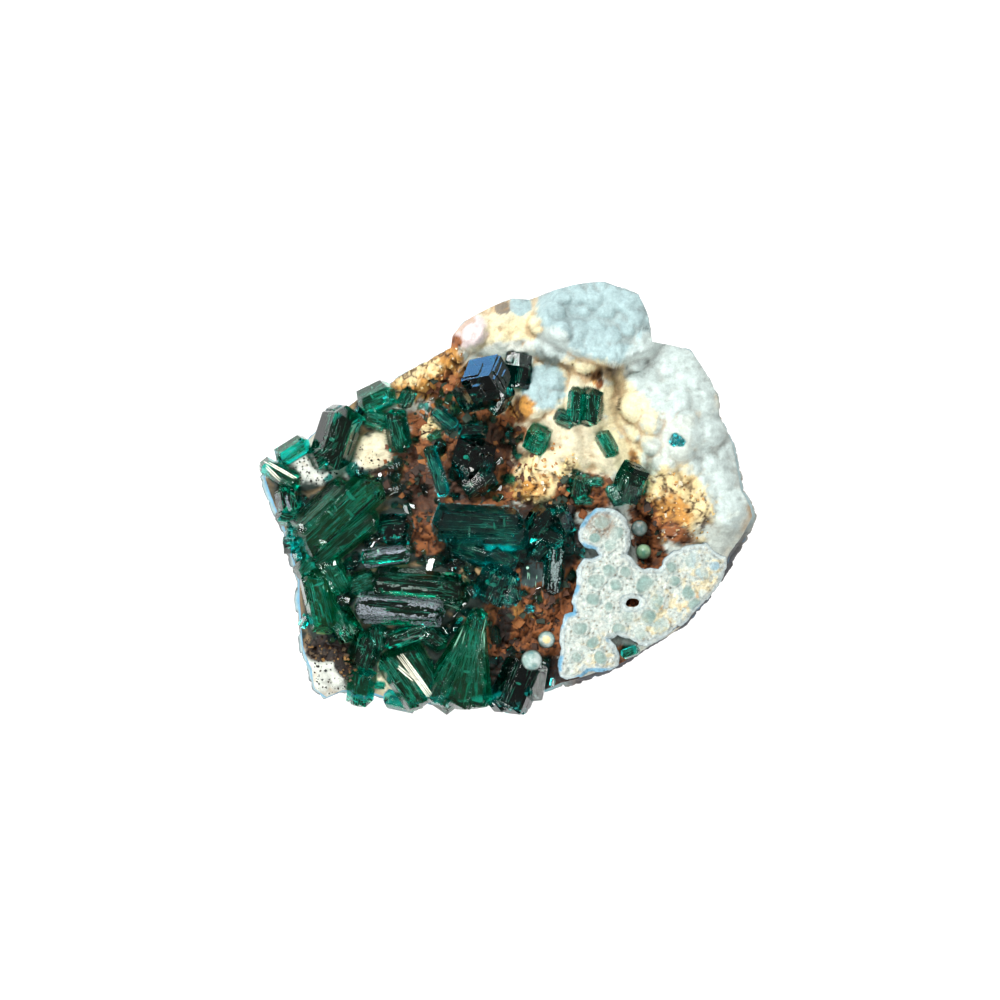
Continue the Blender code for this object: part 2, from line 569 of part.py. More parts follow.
def boxes_meet(one, other, margin):
    """Whether two objects' boxes come within a margin, in millimetres."""
    first, second = ([Vector(corner) for corner in thing.bound_box] for thing in (one, other))
    for k in range(3):
        low = max(min(corner[k] for corner in first), min(corner[k] for corner in second))
        high = min(max(corner[k] for corner in first), max(corner[k] for corner in second))
        if low - high > margin * MM:
            return False
    return True


def cut_by_prisms(target, rows):
    """Cuts room for crystals, a gap wider than they are."""
    for row in rows:
        cutter = prism_object("cutter", row, GAP)
        if boxes_meet(target, cutter, 0.0):
            boolean(target, cutter, "DIFFERENCE")
        else:
            bpy.data.objects.remove(cutter, do_unlink=True)


def outline_prism(name, points, low, high, look=None):
    """A straight-sided block over an outline."""
    bm = bmesh.new()
    base = bm.faces.new([bm.verts.new((x, y, low)) for x, y in points])
    raised = bmesh.ops.extrude_face_region(bm, geom=[base])["geom"]
    risen = [thing for thing in raised if isinstance(thing, bmesh.types.BMVert)]
    bmesh.ops.translate(bm, vec=(0, 0, high - low), verts=risen)
    return object_from(bm, name, look)


def grown_outline(points, margin):
    """The outline moved outwards at each corner, along the mean of its two sides' normals."""
    grown = []
    count = len(points)
    for k in range(count):
        before, here, after = (Vector(points[(k + step) % count]) for step in (-1, 0, 1))
        normals = [Vector((edge.y, -edge.x)).normalized() for edge in (here - before, after - here)]
        mean = normals[0] + normals[1]
        mean *= margin / max(0.5, mean.length_squared / 2)
        grown.append(here + mean)
    return grown


def make_crust():
    """The crust plate: a slab with nodules on top, trimmed to its outline and pierced once."""
    low = CRUST_SEAT + GAP
    columns = [min(p[0] for p in CRUST_OUTLINE) - 1, max(p[0] for p in CRUST_OUTLINE) + 1]
    rows = [min(p[1] for p in CRUST_OUTLINE) - 1, max(p[1] for p in CRUST_OUTLINE) + 1]
    xs = np.arange(columns[0], columns[1], CRUST_PITCH)
    ys = np.arange(rows[0], rows[1], CRUST_PITCH)
    bm = bmesh.new()
    upper = {}
    lower = {}
    for i, x in enumerate(xs):
        for j, y in enumerate(ys):
            high = low + CRUST_THICKNESS + crust_relief(x, y)
            upper[i, j] = bm.verts.new((x, y, high))
            if i in (0, len(xs) - 1) or j in (0, len(ys) - 1):
                lower[i, j] = bm.verts.new((x, y, low))
    for i in range(len(xs) - 1):
        for j in range(len(ys) - 1):
            bm.faces.new((upper[i, j], upper[i + 1, j], upper[i + 1, j + 1], upper[i, j + 1]))
    rim = [(i, 0) for i in range(len(xs) - 1)]
    rim += [(len(xs) - 1, j) for j in range(len(ys) - 1)]
    rim += [(i, len(ys) - 1) for i in range(len(xs) - 1, 0, -1)]
    rim += [(0, j) for j in range(len(ys) - 1, 0, -1)]
    for k, place in enumerate(rim):
        after = rim[(k + 1) % len(rim)]
        bm.faces.new((lower[place], lower[after], upper[after], upper[place]))
    bm.faces.new([lower[place] for place in reversed(rim)])
    bmesh.ops.triangulate(bm, faces=bm.faces)
    crust = object_from(bm, "botryoidal_crust", CRUST)
    boolean(crust, outline_prism("trim", CRUST_OUTLINE, 5.0, 25.0), "INTERSECT")
    hole_x, hole_y, half_x, half_y = CRUST_HOLE
    turns = [math.radians(45 * k) for k in range(8)]
    hole = [(hole_x + half_x * math.cos(t), hole_y + half_y * math.sin(t)) for t in turns]
    boolean(crust, outline_prism("hole", hole, 5.0, 25.0), "DIFFERENCE")
    return crust


def crust_relief(x, y):
    """How far a nodule stands above the plate."""
    relief = 0.25 * noise.noise(Vector((x * 0.4, y * 0.4, 7.0)))
    for nodule_x, nodule_y in NODULES:
        share = ((x - nodule_x) ** 2 + (y - nodule_y) ** 2) / NODULE_RADIUS**2
        relief += NODULE_RISE * math.sqrt(max(0.0, 1.0 - share))
    return relief


def make_spherule(name, place):
    x, y, z, radius = place
    bm = bmesh.new()
    bmesh.ops.create_uvsphere(bm, u_segments=SPHERULE_SEGMENTS, v_segments=SPHERULE_RINGS,
                              radius=radius)
    bmesh.ops.translate(bm, vec=(x, y, z), verts=bm.verts)
    return object_from(bm, name, SPHERULE)


def main():
    clear_scene()
    matrix = make_matrix()
    seat = outline_prism("seat", grown_outline(CRUST_OUTLINE, GAP), CRUST_SEAT, 30.0)
    boolean(matrix, seat, "DIFFERENCE")
    make_crust()
    finished = {}
    for name, rows in CRYSTALS.items():
        crystals = make_crystals(name, rows)
        room = outline_prism("room", grown_outline(CRUST_OUTLINE, GAP), CRUST_SEAT, 30.0)
        if boxes_meet(crystals, room, 0.0):
            boolean(crystals, room, "DIFFERENCE")
        else:
            bpy.data.objects.remove(room, do_unlink=True)
        for earlier, earlier_rows in finished.items():
            cut_by_prisms(crystals, earlier_rows)
        keep_largest_body(crystals)
        cut_by_prisms(matrix, rows)
        finished[name] = rows
    for name, place in SPHERULES.items():
        ball = make_spherule(name, place)
        for rows in finished.values():
            cut_by_prisms(ball, rows)
        keep_largest_body(ball)
        x, y, z, radius = place
        room = make_spherule("room", (x, y, z, radius + GAP))
        boolean(matrix, room, "DIFFERENCE")
    keep_largest_body(matrix)


main()
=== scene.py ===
"""The dioptase specimen's looks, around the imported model, in metres with +Z up.

Sizes and places below are in millimetres unless a name says otherwise; MM turns them into metres.
The rock's broad forms, the crystals' places and the crust's outline repeat those of the model.
"""
import itertools
import math

import bmesh
import bpy
import numpy as np
from mathutils import Matrix, Vector, noise
from mathutils.bvhtree import BVHTree


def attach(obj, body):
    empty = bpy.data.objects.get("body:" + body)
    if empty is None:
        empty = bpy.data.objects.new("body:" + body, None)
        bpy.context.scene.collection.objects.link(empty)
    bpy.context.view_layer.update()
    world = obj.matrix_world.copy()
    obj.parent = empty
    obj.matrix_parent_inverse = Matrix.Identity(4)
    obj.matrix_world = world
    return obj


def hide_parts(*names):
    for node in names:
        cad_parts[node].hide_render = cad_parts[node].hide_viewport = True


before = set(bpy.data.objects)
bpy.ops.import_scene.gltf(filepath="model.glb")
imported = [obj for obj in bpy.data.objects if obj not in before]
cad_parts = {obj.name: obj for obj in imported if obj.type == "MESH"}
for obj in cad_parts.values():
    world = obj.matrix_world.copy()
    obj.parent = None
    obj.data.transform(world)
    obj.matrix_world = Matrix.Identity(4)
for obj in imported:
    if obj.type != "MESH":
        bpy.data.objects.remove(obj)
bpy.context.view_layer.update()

MM = 0.001
SEED = 11

# The rock's form, as in the model; only the lumps are sunk a little deeper here
ROCK_LEVEL = 13.2
EDGE_ROUNDING = 1.3
EDGE_BAND = 0.10
LUMP_SINK = 0.72
BED_SHARE = 0.42
BED_SLOPE = 1.1
CRUST_SEAT = 13.4
GAP = 0.3
CRUST_THICKNESS = 2.7
NODULE_RADIUS = 1.05
TIP_RISE = 0.62

OUTLINE = (
    (-30.7, 2.6), (-29.5, 4.2), (-27.4, 5.6), (-25.1, 7.4), (-23.2, 9.0), (-20.5, 11.0),
    (-18.2, 12.8), (-14.9, 14.1), (-13.5, 15.2), (-10.1, 17.0), (-7.1, 18.7), (-6.9, 20.2),
    (-5.4, 21.9), (-3.3, 23.1), (-1.4, 24.0), (0.5, 24.7), (2.6, 24.6), (4.3, 25.2),
    (6.9, 26.0), (9.8, 26.6), (11.9, 26.7), (14.0, 25.9), (16.1, 25.1), (17.2, 22.9),
    (17.8, 19.3), (20.4, 18.9), (22.5, 18.3), (23.7, 16.8), (25.1, 14.5), (26.1, 12.3),
    (26.3, 10.2), (28.0, 6.8), (28.7, 3.8), (29.3, 0.9), (30.6, -1.2), (31.0, -2.3),
    (30.1, -4.6), (28.4, -7.6), (26.3, -10.9), (24.2, -13.5), (21.3, -16.5), (17.8, -18.6),
    (13.7, -21.2), (11.1, -22.1), (6.9, -23.5), (5.2, -24.2), (3.4, -24.9), (0.1, -25.8),
    (-3.3, -25.1), (-6.7, -25.8), (-9.2, -25.9), (-11.8, -25.5), (-14.8, -25.3), (-16.7, -24.7),
    (-18.0, -24.6), (-19.6, -24.2), (-20.9, -24.2), (-22.8, -25.0), (-24.3, -23.9),
    (-24.7, -21.5), (-25.8, -19.0), (-26.2, -14.8), (-26.4, -10.5), (-27.1, -8.0),
    (-28.3, -3.8), (-29.8, -0.4),
)
TOP_INSET = ((-180, 1.0), (-150, 0.9), (-120, 0.8), (-75, 0.9), (-50, 0.7), (-35, 0.6), (-24, 0.9),
             (-14, 1.6), (0, 0.8), (25, 0.4), (90, 0.3), (140, 0.4), (165, 0.7), (180, 1.0))
# x, y, half length, half width, heading, rise and edge steepness
MOUNDS = {
    "blue_mass": (11.3, 21.6, 8.6, 5.8, -12, 4.8, 2.4),
    "blue_foot": (9.0, 17.8, 7.5, 4.5, -10, 1.6, 1.2),
    "pale_shoulder": (21.0, 13.0, 9.0, 7.5, -50, 3.0, 1.5),
    "pale_field": (16.5, 8.5, 9.5, 7.5, -30, 1.0, 1.2),
    "right_field": (24.0, 2.5, 8.5, 7.5, -60, 1.5, 1.3),
    "blue_knoll": (4.3, 12.9, 4.0, 3.6, 0, 3.0, 1.3),
    "cream_top": (0.8, 20.0, 7.5, 4.6, 10, 3.0, 1.2),
    "pink_corner": (-5.2, 20.6, 3.6, 3.0, 60, 2.2, 1.4),
    "ochre_ridge": (-10.4, 15.3, 5.6, 2.6, 28, 2.2, 1.2),
    "ochre_crumbs": (4.2, 2.6, 4.4, 4.0, 35, 1.7, 1.3),
    "ochre_right": (20.0, -1.6, 5.5, 4.2, -30, 0.9, 1.1),
    "white_ledge": (-24.6, 3.2, 4.4, 2.6, -10, 1.2, 1.3),
    "white_knob": (-16.2, 5.4, 3.0, 3.2, 0, 1.5, 1.3),
    "white_boulder": (-22.6, -21.8, 3.6, 3.9, 30, 1.6, 1.6),
    "left_shelf": (-19.5, -4.0, 8.5, 9.0, 0, 0.6, 1.0),
}
HOLLOWS = {
    "rusty_vug": (-6.0, -1.5, 7.5, 7.0, 20, 2.0, 1.2),
    "rusty_neck": (-0.8, 6.2, 5.5, 4.2, 60, 1.5, 1.2),
    "rusty_triangle": (1.2, -15.4, 5.4, 5.6, 20, 2.2, 1.5),
    "dark_slot": (-0.4, -15.6, 1.3, 2.6, -8, 2.4, 1.6),
    "behind_trio": (11.6, 13.6, 1.6, 1.5, 0, 2.2, 1.6),
    "rusty_right": (17.2, -4.8, 2.0, 4.6, 15, 1.8, 1.4),
    "bottom_slope": (-8.0, -26.5, 16.0, 5.5, 3, 3.4, 1.2),
    "left_slope": (-29.5, -7.0, 4.5, 9.0, 15, 1.8, 1.1),
    "boulder_clump": (-22.0, -17.8, 4.0, 2.4, 15, 1.2, 1.2),
}
# x, y, half length, half width, heading, spacing and radius
LUMP_FIELDS = {
    "blue_mass": (11.0, 21.2, 7.6, 5.2, -12, 1.9, 1.5),
    "pale_field": (20.0, 9.0, 12.5, 9.0, -50, 2.5, 1.9),
    "cream_top": (1.0, 19.5, 7.5, 4.8, 8, 2.3, 1.7),
    "blue_knoll": (4.6, 12.8, 3.6, 3.4, 0, 2.4, 1.8),
    "ochre_crumbs": (4.4, 2.2, 4.2, 4.0, 30, 1.9, 1.3),
    "ochre_right": (20.4, -1.8, 5.0, 3.8, -30, 2.0, 1.3),
    "white_left": (-20.6, 4.6, 7.5, 3.0, 5, 2.1, 1.3),
    "boulder": (-22.6, -22.0, 3.4, 3.6, 30, 2.2, 1.6),
}
LONE_LUMPS = ((1.5, 23.4, 1.7), (-0.6, 23.1, 1.3), (6.6, 24.4, 1.6), (10.4, 24.2, 1.8))

CRUST_OUTLINE = (
    (10.8, -1.3), (9.8, -2.0), (9.1, -3.1), (8.5, -4.1), (8.5, -5.2), (9.4, -5.9), (10.8, -6.4),
    (11.1, -7.0), (10.5, -7.3), (9.3, -7.4), (8.4, -8.9), (8.4, -10.8), (7.8, -12.7), (8.0, -14.0),
    (7.0, -14.3), (6.5, -15.4), (6.4, -17.6), (6.4, -19.2), (6.1, -20.6), (6.3, -21.8),
    (7.2, -22.2), (8.9, -22.0), (9.8, -21.2), (12.4, -21.1), (13.4, -20.4), (13.6, -19.4),
    (13.1, -18.1), (12.3, -17.3), (13.4, -16.9), (14.9, -17.1), (15.7, -17.9), (17.0, -18.1),
    (19.5, -16.7), (21.2, -15.6), (23.2, -13.6), (24.5, -12.3), (25.8, -10.6), (26.7, -8.6),
    (26.6, -7.2), (25.5, -6.8), (24.2, -5.6), (21.7, -5.9), (20.3, -6.5), (18.9, -7.6),
    (18.4, -8.7), (17.6, -8.6), (16.5, -8.6), (15.6, -8.1), (14.7, -6.9), (14.9, -5.6),
    (14.9, -3.9), (14.4, -2.6), (13.4, -1.7), (12.1, -1.2),
)
CRUST_HOLE = (15.2, -12.8, 0.85, 0.6)
NODULES = (
    (10.6, -4.8), (13.2, -4.2), (12.6, -5.8), (11.4, -3.0), (12.3, -8.7), (14.4, -9.1),
    (10.8, -10.1), (13.2, -10.6), (16.7, -10.6), (10.2, -12.4), (12.3, -13.2), (18.2, -12.8),
    (20.0, -8.4), (20.3, -10.2), (21.9, -11.6), (22.9, -13.0), (22.6, -7.4), (23.8, -9.2),
    (25.2, -8.4), (14.6, -14.6), (13.7, -16.0), (17.1, -14.5), (18.6, -15.6), (16.1, -16.6),
    (9.0, -15.9), (10.4, -17.6), (8.4, -19.6), (11.2, -19.6),
)

# Crystals: x, y, highest point, heading, tilt, roll, length, width, depth, widening
CRYSTALS = {
    "crystal_gem": (
        (-3.3, 13.9, 21.6, 45, 70, -8, 8.4, 6.6, 6.4, 0.0),
        (1.2, 15.6, 19.0, 82, 34, 30, 5.0, 3.7, 3.6, 0.0),
        (-1.0, 12.2, 17.9, 60, 40, 0, 4.6, 3.0, 3.0, 0.0),
    ),
    "crystal_domed": (
        (-4.3, 4.3, 18.0, 80, 52, 25, 6.6, 6.0, 5.4, 0.0),
        (-3.6, 2.4, 17.0, 40, 30, 0, 5.0, 4.4, 4.0, 0.0),
        (-4.3, 8.3, 15.6, 5, 8, 0, 4.0, 2.3, 2.6, 0.0),
    ),
    "crystal_slender": ((-8.7, 3.3, 16.4, -72, -8, 10, 7.0, 1.8, 1.9, 0.0),),
    "crystal_wide": (
        (-3.6, -3.3, 18.0, 177, 3, 8, 12.0, 5.3, 4.8, 0.0),
        (-4.6, -6.4, 15.6, 160, 4, 20, 6.2, 3.4, 3.6, 0.0),
        (-0.4, -4.6, 17.0, 182, 0, 0, 6.6, 4.2, 4.0, 0.0),
        (-0.8, -7.2, 15.2, 150, 6, 0, 4.4, 2.8, 3.0, 0.0),
    ),
    "crystals_blocky": (
        (3.7, -3.3, 17.6, 62, 34, 10, 5.4, 3.8, 3.6, 0.0),
        (6.4, -2.6, 17.0, 112, 38, 25, 4.6, 3.3, 3.2, 0.0),
        (5.3, -4.7, 16.4, -25, 15, 0, 4.2, 2.8, 2.8, 0.0),
        (1.6, -6.4, 16.0, 80, 20, 5, 3.4, 2.8, 3.0, 0.0),
        (4.2, -6.4, 16.3, 45, 14, 0, 3.4, 2.6, 2.8, 0.0),
        (7.2, -5.6, 15.8, 100, 10, 10, 3.2, 2.4, 2.6, 0.0),
    ),
    "crystal_square_dark": ((-13.8, -3.8, 17.2, 4, 8, 5, 4.8, 4.2, 4.0, 0.0),),
    "crystal_frosted_small": ((-15.0, -7.2, 16.6, 7, 2, 0, 6.5, 2.6, 2.8, 0.0),),
    "crystals_left_striated": (
        (-20.7, -2.2, 18.0, 43, 5, 8, 13.2, 5.2, 5.0, 0.0),
        (-22.6, -1.4, 17.0, 43, 2, 20, 9.4, 4.0, 4.4, 0.0),
        (-20.0, -5.0, 16.4, 38, 4, 0, 10.6, 3.4, 4.0, 0.0),
        (-17.6, 0.4, 16.8, 35, 10, 0, 5.6, 3.2, 3.6, 0.0),
    ),
    "crystals_left_tip": (
        (-28.0, 3.0, 15.6, 151, 3, 10, 5.8, 2.4, 3.2, 0.0),
        (-26.9, -0.1, 15.8, 100, 15, 0, 4.2, 3.5, 3.6, 0.0),
        (-26.7, -2.5, 14.6, 168, 2, 0, 4.0, 2.3, 3.0, 0.0),
        (-26.2, -4.6, 13.8, 120, 6, 20, 2.6, 2.2, 2.4, 0.0),
    ),
    "crystals_left_pointed": (
        (-22.9, -12.6, 17.4, -77, -4, 12, 8.6, 4.3, 4.8, 0.0),
        (-21.3, -9.6, 16.6, -60, 8, 0, 5.4, 3.8, 4.0, 0.0),
        (-24.2, -8.2, 15.2, 48, 4, 0, 4.8, 3.0, 3.4, 0.0),
        (-17.9, -10.4, 15.3, 22, 4, 0, 4.2, 3.0, 3.2, 0.0),
        (-20.0, -15.5, 15.8, -58, 4, 20, 4.8, 3.6, 4.0, 0.0),
    ),
    "crystals_long_pair": (
        (-10.8, -10.8, 18.2, -6, 4, 5, 12.4, 4.4, 4.6, 0.0),
        (-13.2, -13.6, 17.0, -3, 3, -6, 11.8, 4.3, 4.4, 0.0),
        (-6.9, -11.6, 17.4, -25, 8, 15, 5.0, 4.0, 4.2, 0.0),
    ),
    "crystals_below_pair": (
        (-12.3, -16.9, 15.6, 18, 4, 10, 6.5, 2.8, 3.0, 0.0),
        (-9.3, -17.0, 15.0, -35, 4, 0, 4.4, 2.8, 3.0, 0.0),
        (-16.0, -17.2, 14.8, 100, 4, 0, 3.8, 2.6, 3.0, 0.0),
    ),
    "crystals_bottom_left": (
        (-17.6, -18.7, 15.2, 72, 8, 5, 5.4, 3.9, 4.0, 0.0),
        (-18.0, -23.2, 14.4, -97, -14, 0, 5.4, 3.6, 3.8, 0.0),
    ),
    "crystals_cleaved": (
        (-12.8, -22.3, 15.8, -56, -3, 8, 8.8, 3.9, 4.2, 0.0),
        (-10.5, -21.4, 15.0, -60, -2, 0, 8.4, 3.4, 4.0, 0.0),
        (-13.2, -25.0, 12.4, -12, 0, 0, 4.6, 2.5, 3.2, 0.0),
    ),
    "crystals_fan": (
        (-5.7, -19.6, 16.8, 76, 6, 4, 13.4, 4.0, 4.4, -0.42),
        (-7.4, -20.4, 16.2, 64, 6, 10, 11.8, 3.6, 4.2, -0.42),
        (-4.2, -20.2, 16.4, 88, 5, 0, 12.0, 3.6, 4.2, -0.42),
        (-8.0, -24.4, 13.2, -35, -4, 0, 4.6, 3.4, 3.4, 0.0),
    ),
    "crystals_bottom_dark": (
        (1.2, -22.7, 16.4, 68, 8, 8, 8.4, 5.6, 5.2, 0.0),
        (3.0, -22.0, 15.6, 80, 6, 20, 6.4, 3.9, 4.4, 0.0),
        (-0.4, -24.0, 14.6, 60, 4, 0, 5.4, 3.6, 4.0, 0.0),
    ),
    "crystal_blue": (
        (-1.5, -10.5, 17.4, 68, 22, 10, 5.8, 5.0, 4.6, 0.0),
        (0.2, -11.4, 16.6, 95, 14, 0, 4.2, 3.0, 3.4, 0.0),
    ),
    "crystals_frosted_centre": (
        (2.9, -9.3, 16.6, 90, 26, 8, 3.8, 2.8, 3.0, 0.0),
        (5.6, -8.7, 17.0, 86, 8, 10, 6.6, 2.9, 3.4, 0.0),
    ),
    "crystal_upper_left_end": ((-26.4, 5.9, 15.4, 32, 3, 8, 4.9, 2.7, 3.0, 0.0),),
    "crystal_upper_left_big": (
        (-21.0, 7.4, 17.9, 72, 10, 6, 8.8, 5.6, 5.2, 0.0),
        (-22.0, 5.6, 16.8, 40, 6, 0, 5.4, 4.0, 4.2, 0.0),
    ),
    "crystals_upper_left_pale": (
        (-16.1, 12.3, 16.8, 26, 5, 8, 5.2, 3.8, 3.8, 0.0),
        (-16.3, 9.6, 15.6, -18, 4, 0, 3.3, 2.4, 2.6, 0.0),
    ),
    "crystal_ochre_edge": ((-13.5, 8.2, 16.4, -78, 4, 10, 5.8, 3.1, 3.2, 0.0),),
    "crystal_ochre_small": ((-12.4, 12.2, 16.2, 62, 12, 5, 2.9, 2.0, 2.2, 0.0),),
    "crystal_teal_small": ((-7.8, 9.6, 14.9, -42, 6, 5, 4.2, 2.2, 2.4, 0.0),),
    "crystal_small_gem": ((3.5, 7.2, 16.4, 72, 34, 15, 4.0, 3.2, 3.0, 0.0),),
    "crystals_trio": (
        (10.1, 11.1, 19.0, 84, 12, 8, 5.0, 3.0, 3.2, 0.0),
        (8.3, 11.2, 18.6, 86, 8, -5, 5.0, 2.3, 2.8, 0.0),
        (6.9, 9.7, 17.4, 160, 6, 5, 2.8, 2.0, 2.2, 0.0),
    ),
    "crystal_single_bright": ((12.1, 6.6, 17.4, -60, 6, 6, 3.7, 2.2, 2.4, 0.0),),
    "crystals_right_dark": (
        (15.0, 1.9, 18.6, 76, 48, 12, 5.4, 4.4, 4.2, 0.0),
        (13.1, 0.4, 16.2, -58, 10, 0, 3.2, 2.0, 2.2, 0.0),
    ),
    "crystals_with_arm": (
        (8.7, 1.5, 16.0, 80, 26, 10, 3.9, 3.0, 3.0, 0.0),
        (10.4, 2.0, 15.2, 0, 4, 0, 2.8, 1.2, 1.4, 0.0),
    ),
    "crystal_sliver": ((9.2, -0.4, 14.8, 2, 0, 5, 2.6, 0.9, 1.6, 0.0),),
    "crystals_turquoise": (
        (20.3, 7.1, 18.2, 70, 35, 5, 1.7, 1.1, 1.1, 0.0),
        (21.0, 6.9, 18.0, 120, 30, 10, 1.5, 1.0, 1.0, 0.0),
    ),
    "crystal_turquoise_speck": ((2.8, -13.6, 13.6, 5, 12, 5, 1.6, 0.9, 1.1, 0.0),),
    "crystal_under_crust": ((15.0, -18.9, 14.3, 20, 5, 5, 2.6, 1.4, 1.8, 0.0),),
}
SPHERULES = {
    "spherule_large": (2.9, -19.8, 16.7, 1.33),
    "spherule_ochre_core": (4.7, -17.3, 15.3, 1.1),
    "spherule_grey_green": (16.1, -3.7, 13.9, 1.05),
    "spherule_pale_green": (16.6, -6.6, 13.4, 1.0),
}

# How each kind of crystal looks: the colour that it lets through, how densely it takes the rest
# off per metre, and how rough its faces are
BODY_COLOURS = {
    "bright": ((0.0, 0.930, 0.905), 3600.0, 0.7),
    "deep": ((0.0, 0.918, 0.896), 3600.0, 0.4),
    "dark": ((0.0, 0.915, 0.908), 4300.0, 0.2),
    "teal": ((0.0, 0.910, 0.908), 3300.0, 0.5),
    "turquoise": ((0.0, 0.90, 0.925), 1900.0, 0.5),
}
# The rock's colour where it is hidden below the crystals: painted light and shade, pale to give a
# crystal its glow and dark to darken it
BED_LIGHTING_COLOURS = {
    "bright": (150, 170, 130), "deep": (96, 112, 90), "dark": (70, 90, 90),
    "teal": (130, 160, 156), "turquoise": (190, 220, 220),
}
# The same for single crystals: the node, and which of its crystals
BED_LIGHTING_OVERRIDES = {
    ("crystals_cleaved", 2): (60, 190, 225), ("crystals_left_pointed", 0): (190, 210, 140),
    ("crystals_left_tip", 1): (30, 40, 36), ("crystals_left_tip", 0): (220, 230, 190),
    ("crystals_left_striated", 0): (180, 205, 140), ("crystals_long_pair", 0): (80, 110, 80),
    ("crystals_bottom_left", 1): (190, 215, 170),
}
GROUP_OF = {
    "crystals_left_striated": "bright", "crystals_left_pointed": "bright",
    "crystals_fan": "bright", "crystals_cleaved": "bright", "crystal_single_bright": "bright",
    "crystal_upper_left_end": "bright", "crystal_small_gem": "bright",
    "crystals_upper_left_pale": "bright", "crystal_upper_left_big": "deep",
    "crystal_wide": "teal", "crystal_slender": "teal", "crystal_teal_small": "teal",
    "crystal_gem": "dark", "crystal_domed": "dark", "crystal_square_dark": "dark",
    "crystals_bottom_dark": "dark", "crystals_blocky": "dark", "crystal_blue": "teal",
    "crystals_frosted_centre": "dark", "crystals_turquoise": "turquoise",
    "crystal_turquoise_speck": "turquoise",
}

# Colours of the rock as the eye sees them, 0 to 255
PALETTE = {
    "pale_blue": (198, 213, 208), "sky_blue": (170, 196, 197), "cream": (234, 224, 190),
    "white": (214, 219, 208), "pink_white": (228, 212, 210), "yellow": (232, 211, 156),
    "ochre": (196, 140, 62), "rust": (142, 82, 36), "brown": (78, 46, 26), "dark": (36, 26, 20),
    "rim_blue": (104, 176, 212), "navy": (12, 44, 72), "turquoise": (28, 130, 140),
    "butter": (240, 228, 184), "grey_brown": (130, 120, 104), "tan": (186, 150, 104),
    "ice": (208, 218, 208),
    # green_shadow and brown_shadow are painted shade, for the dark gaps between the crystals
    "green_shadow": (18, 40, 32), "brown_shadow": (50, 34, 26),
}
PAINT_BRIGHTNESS = 0.74
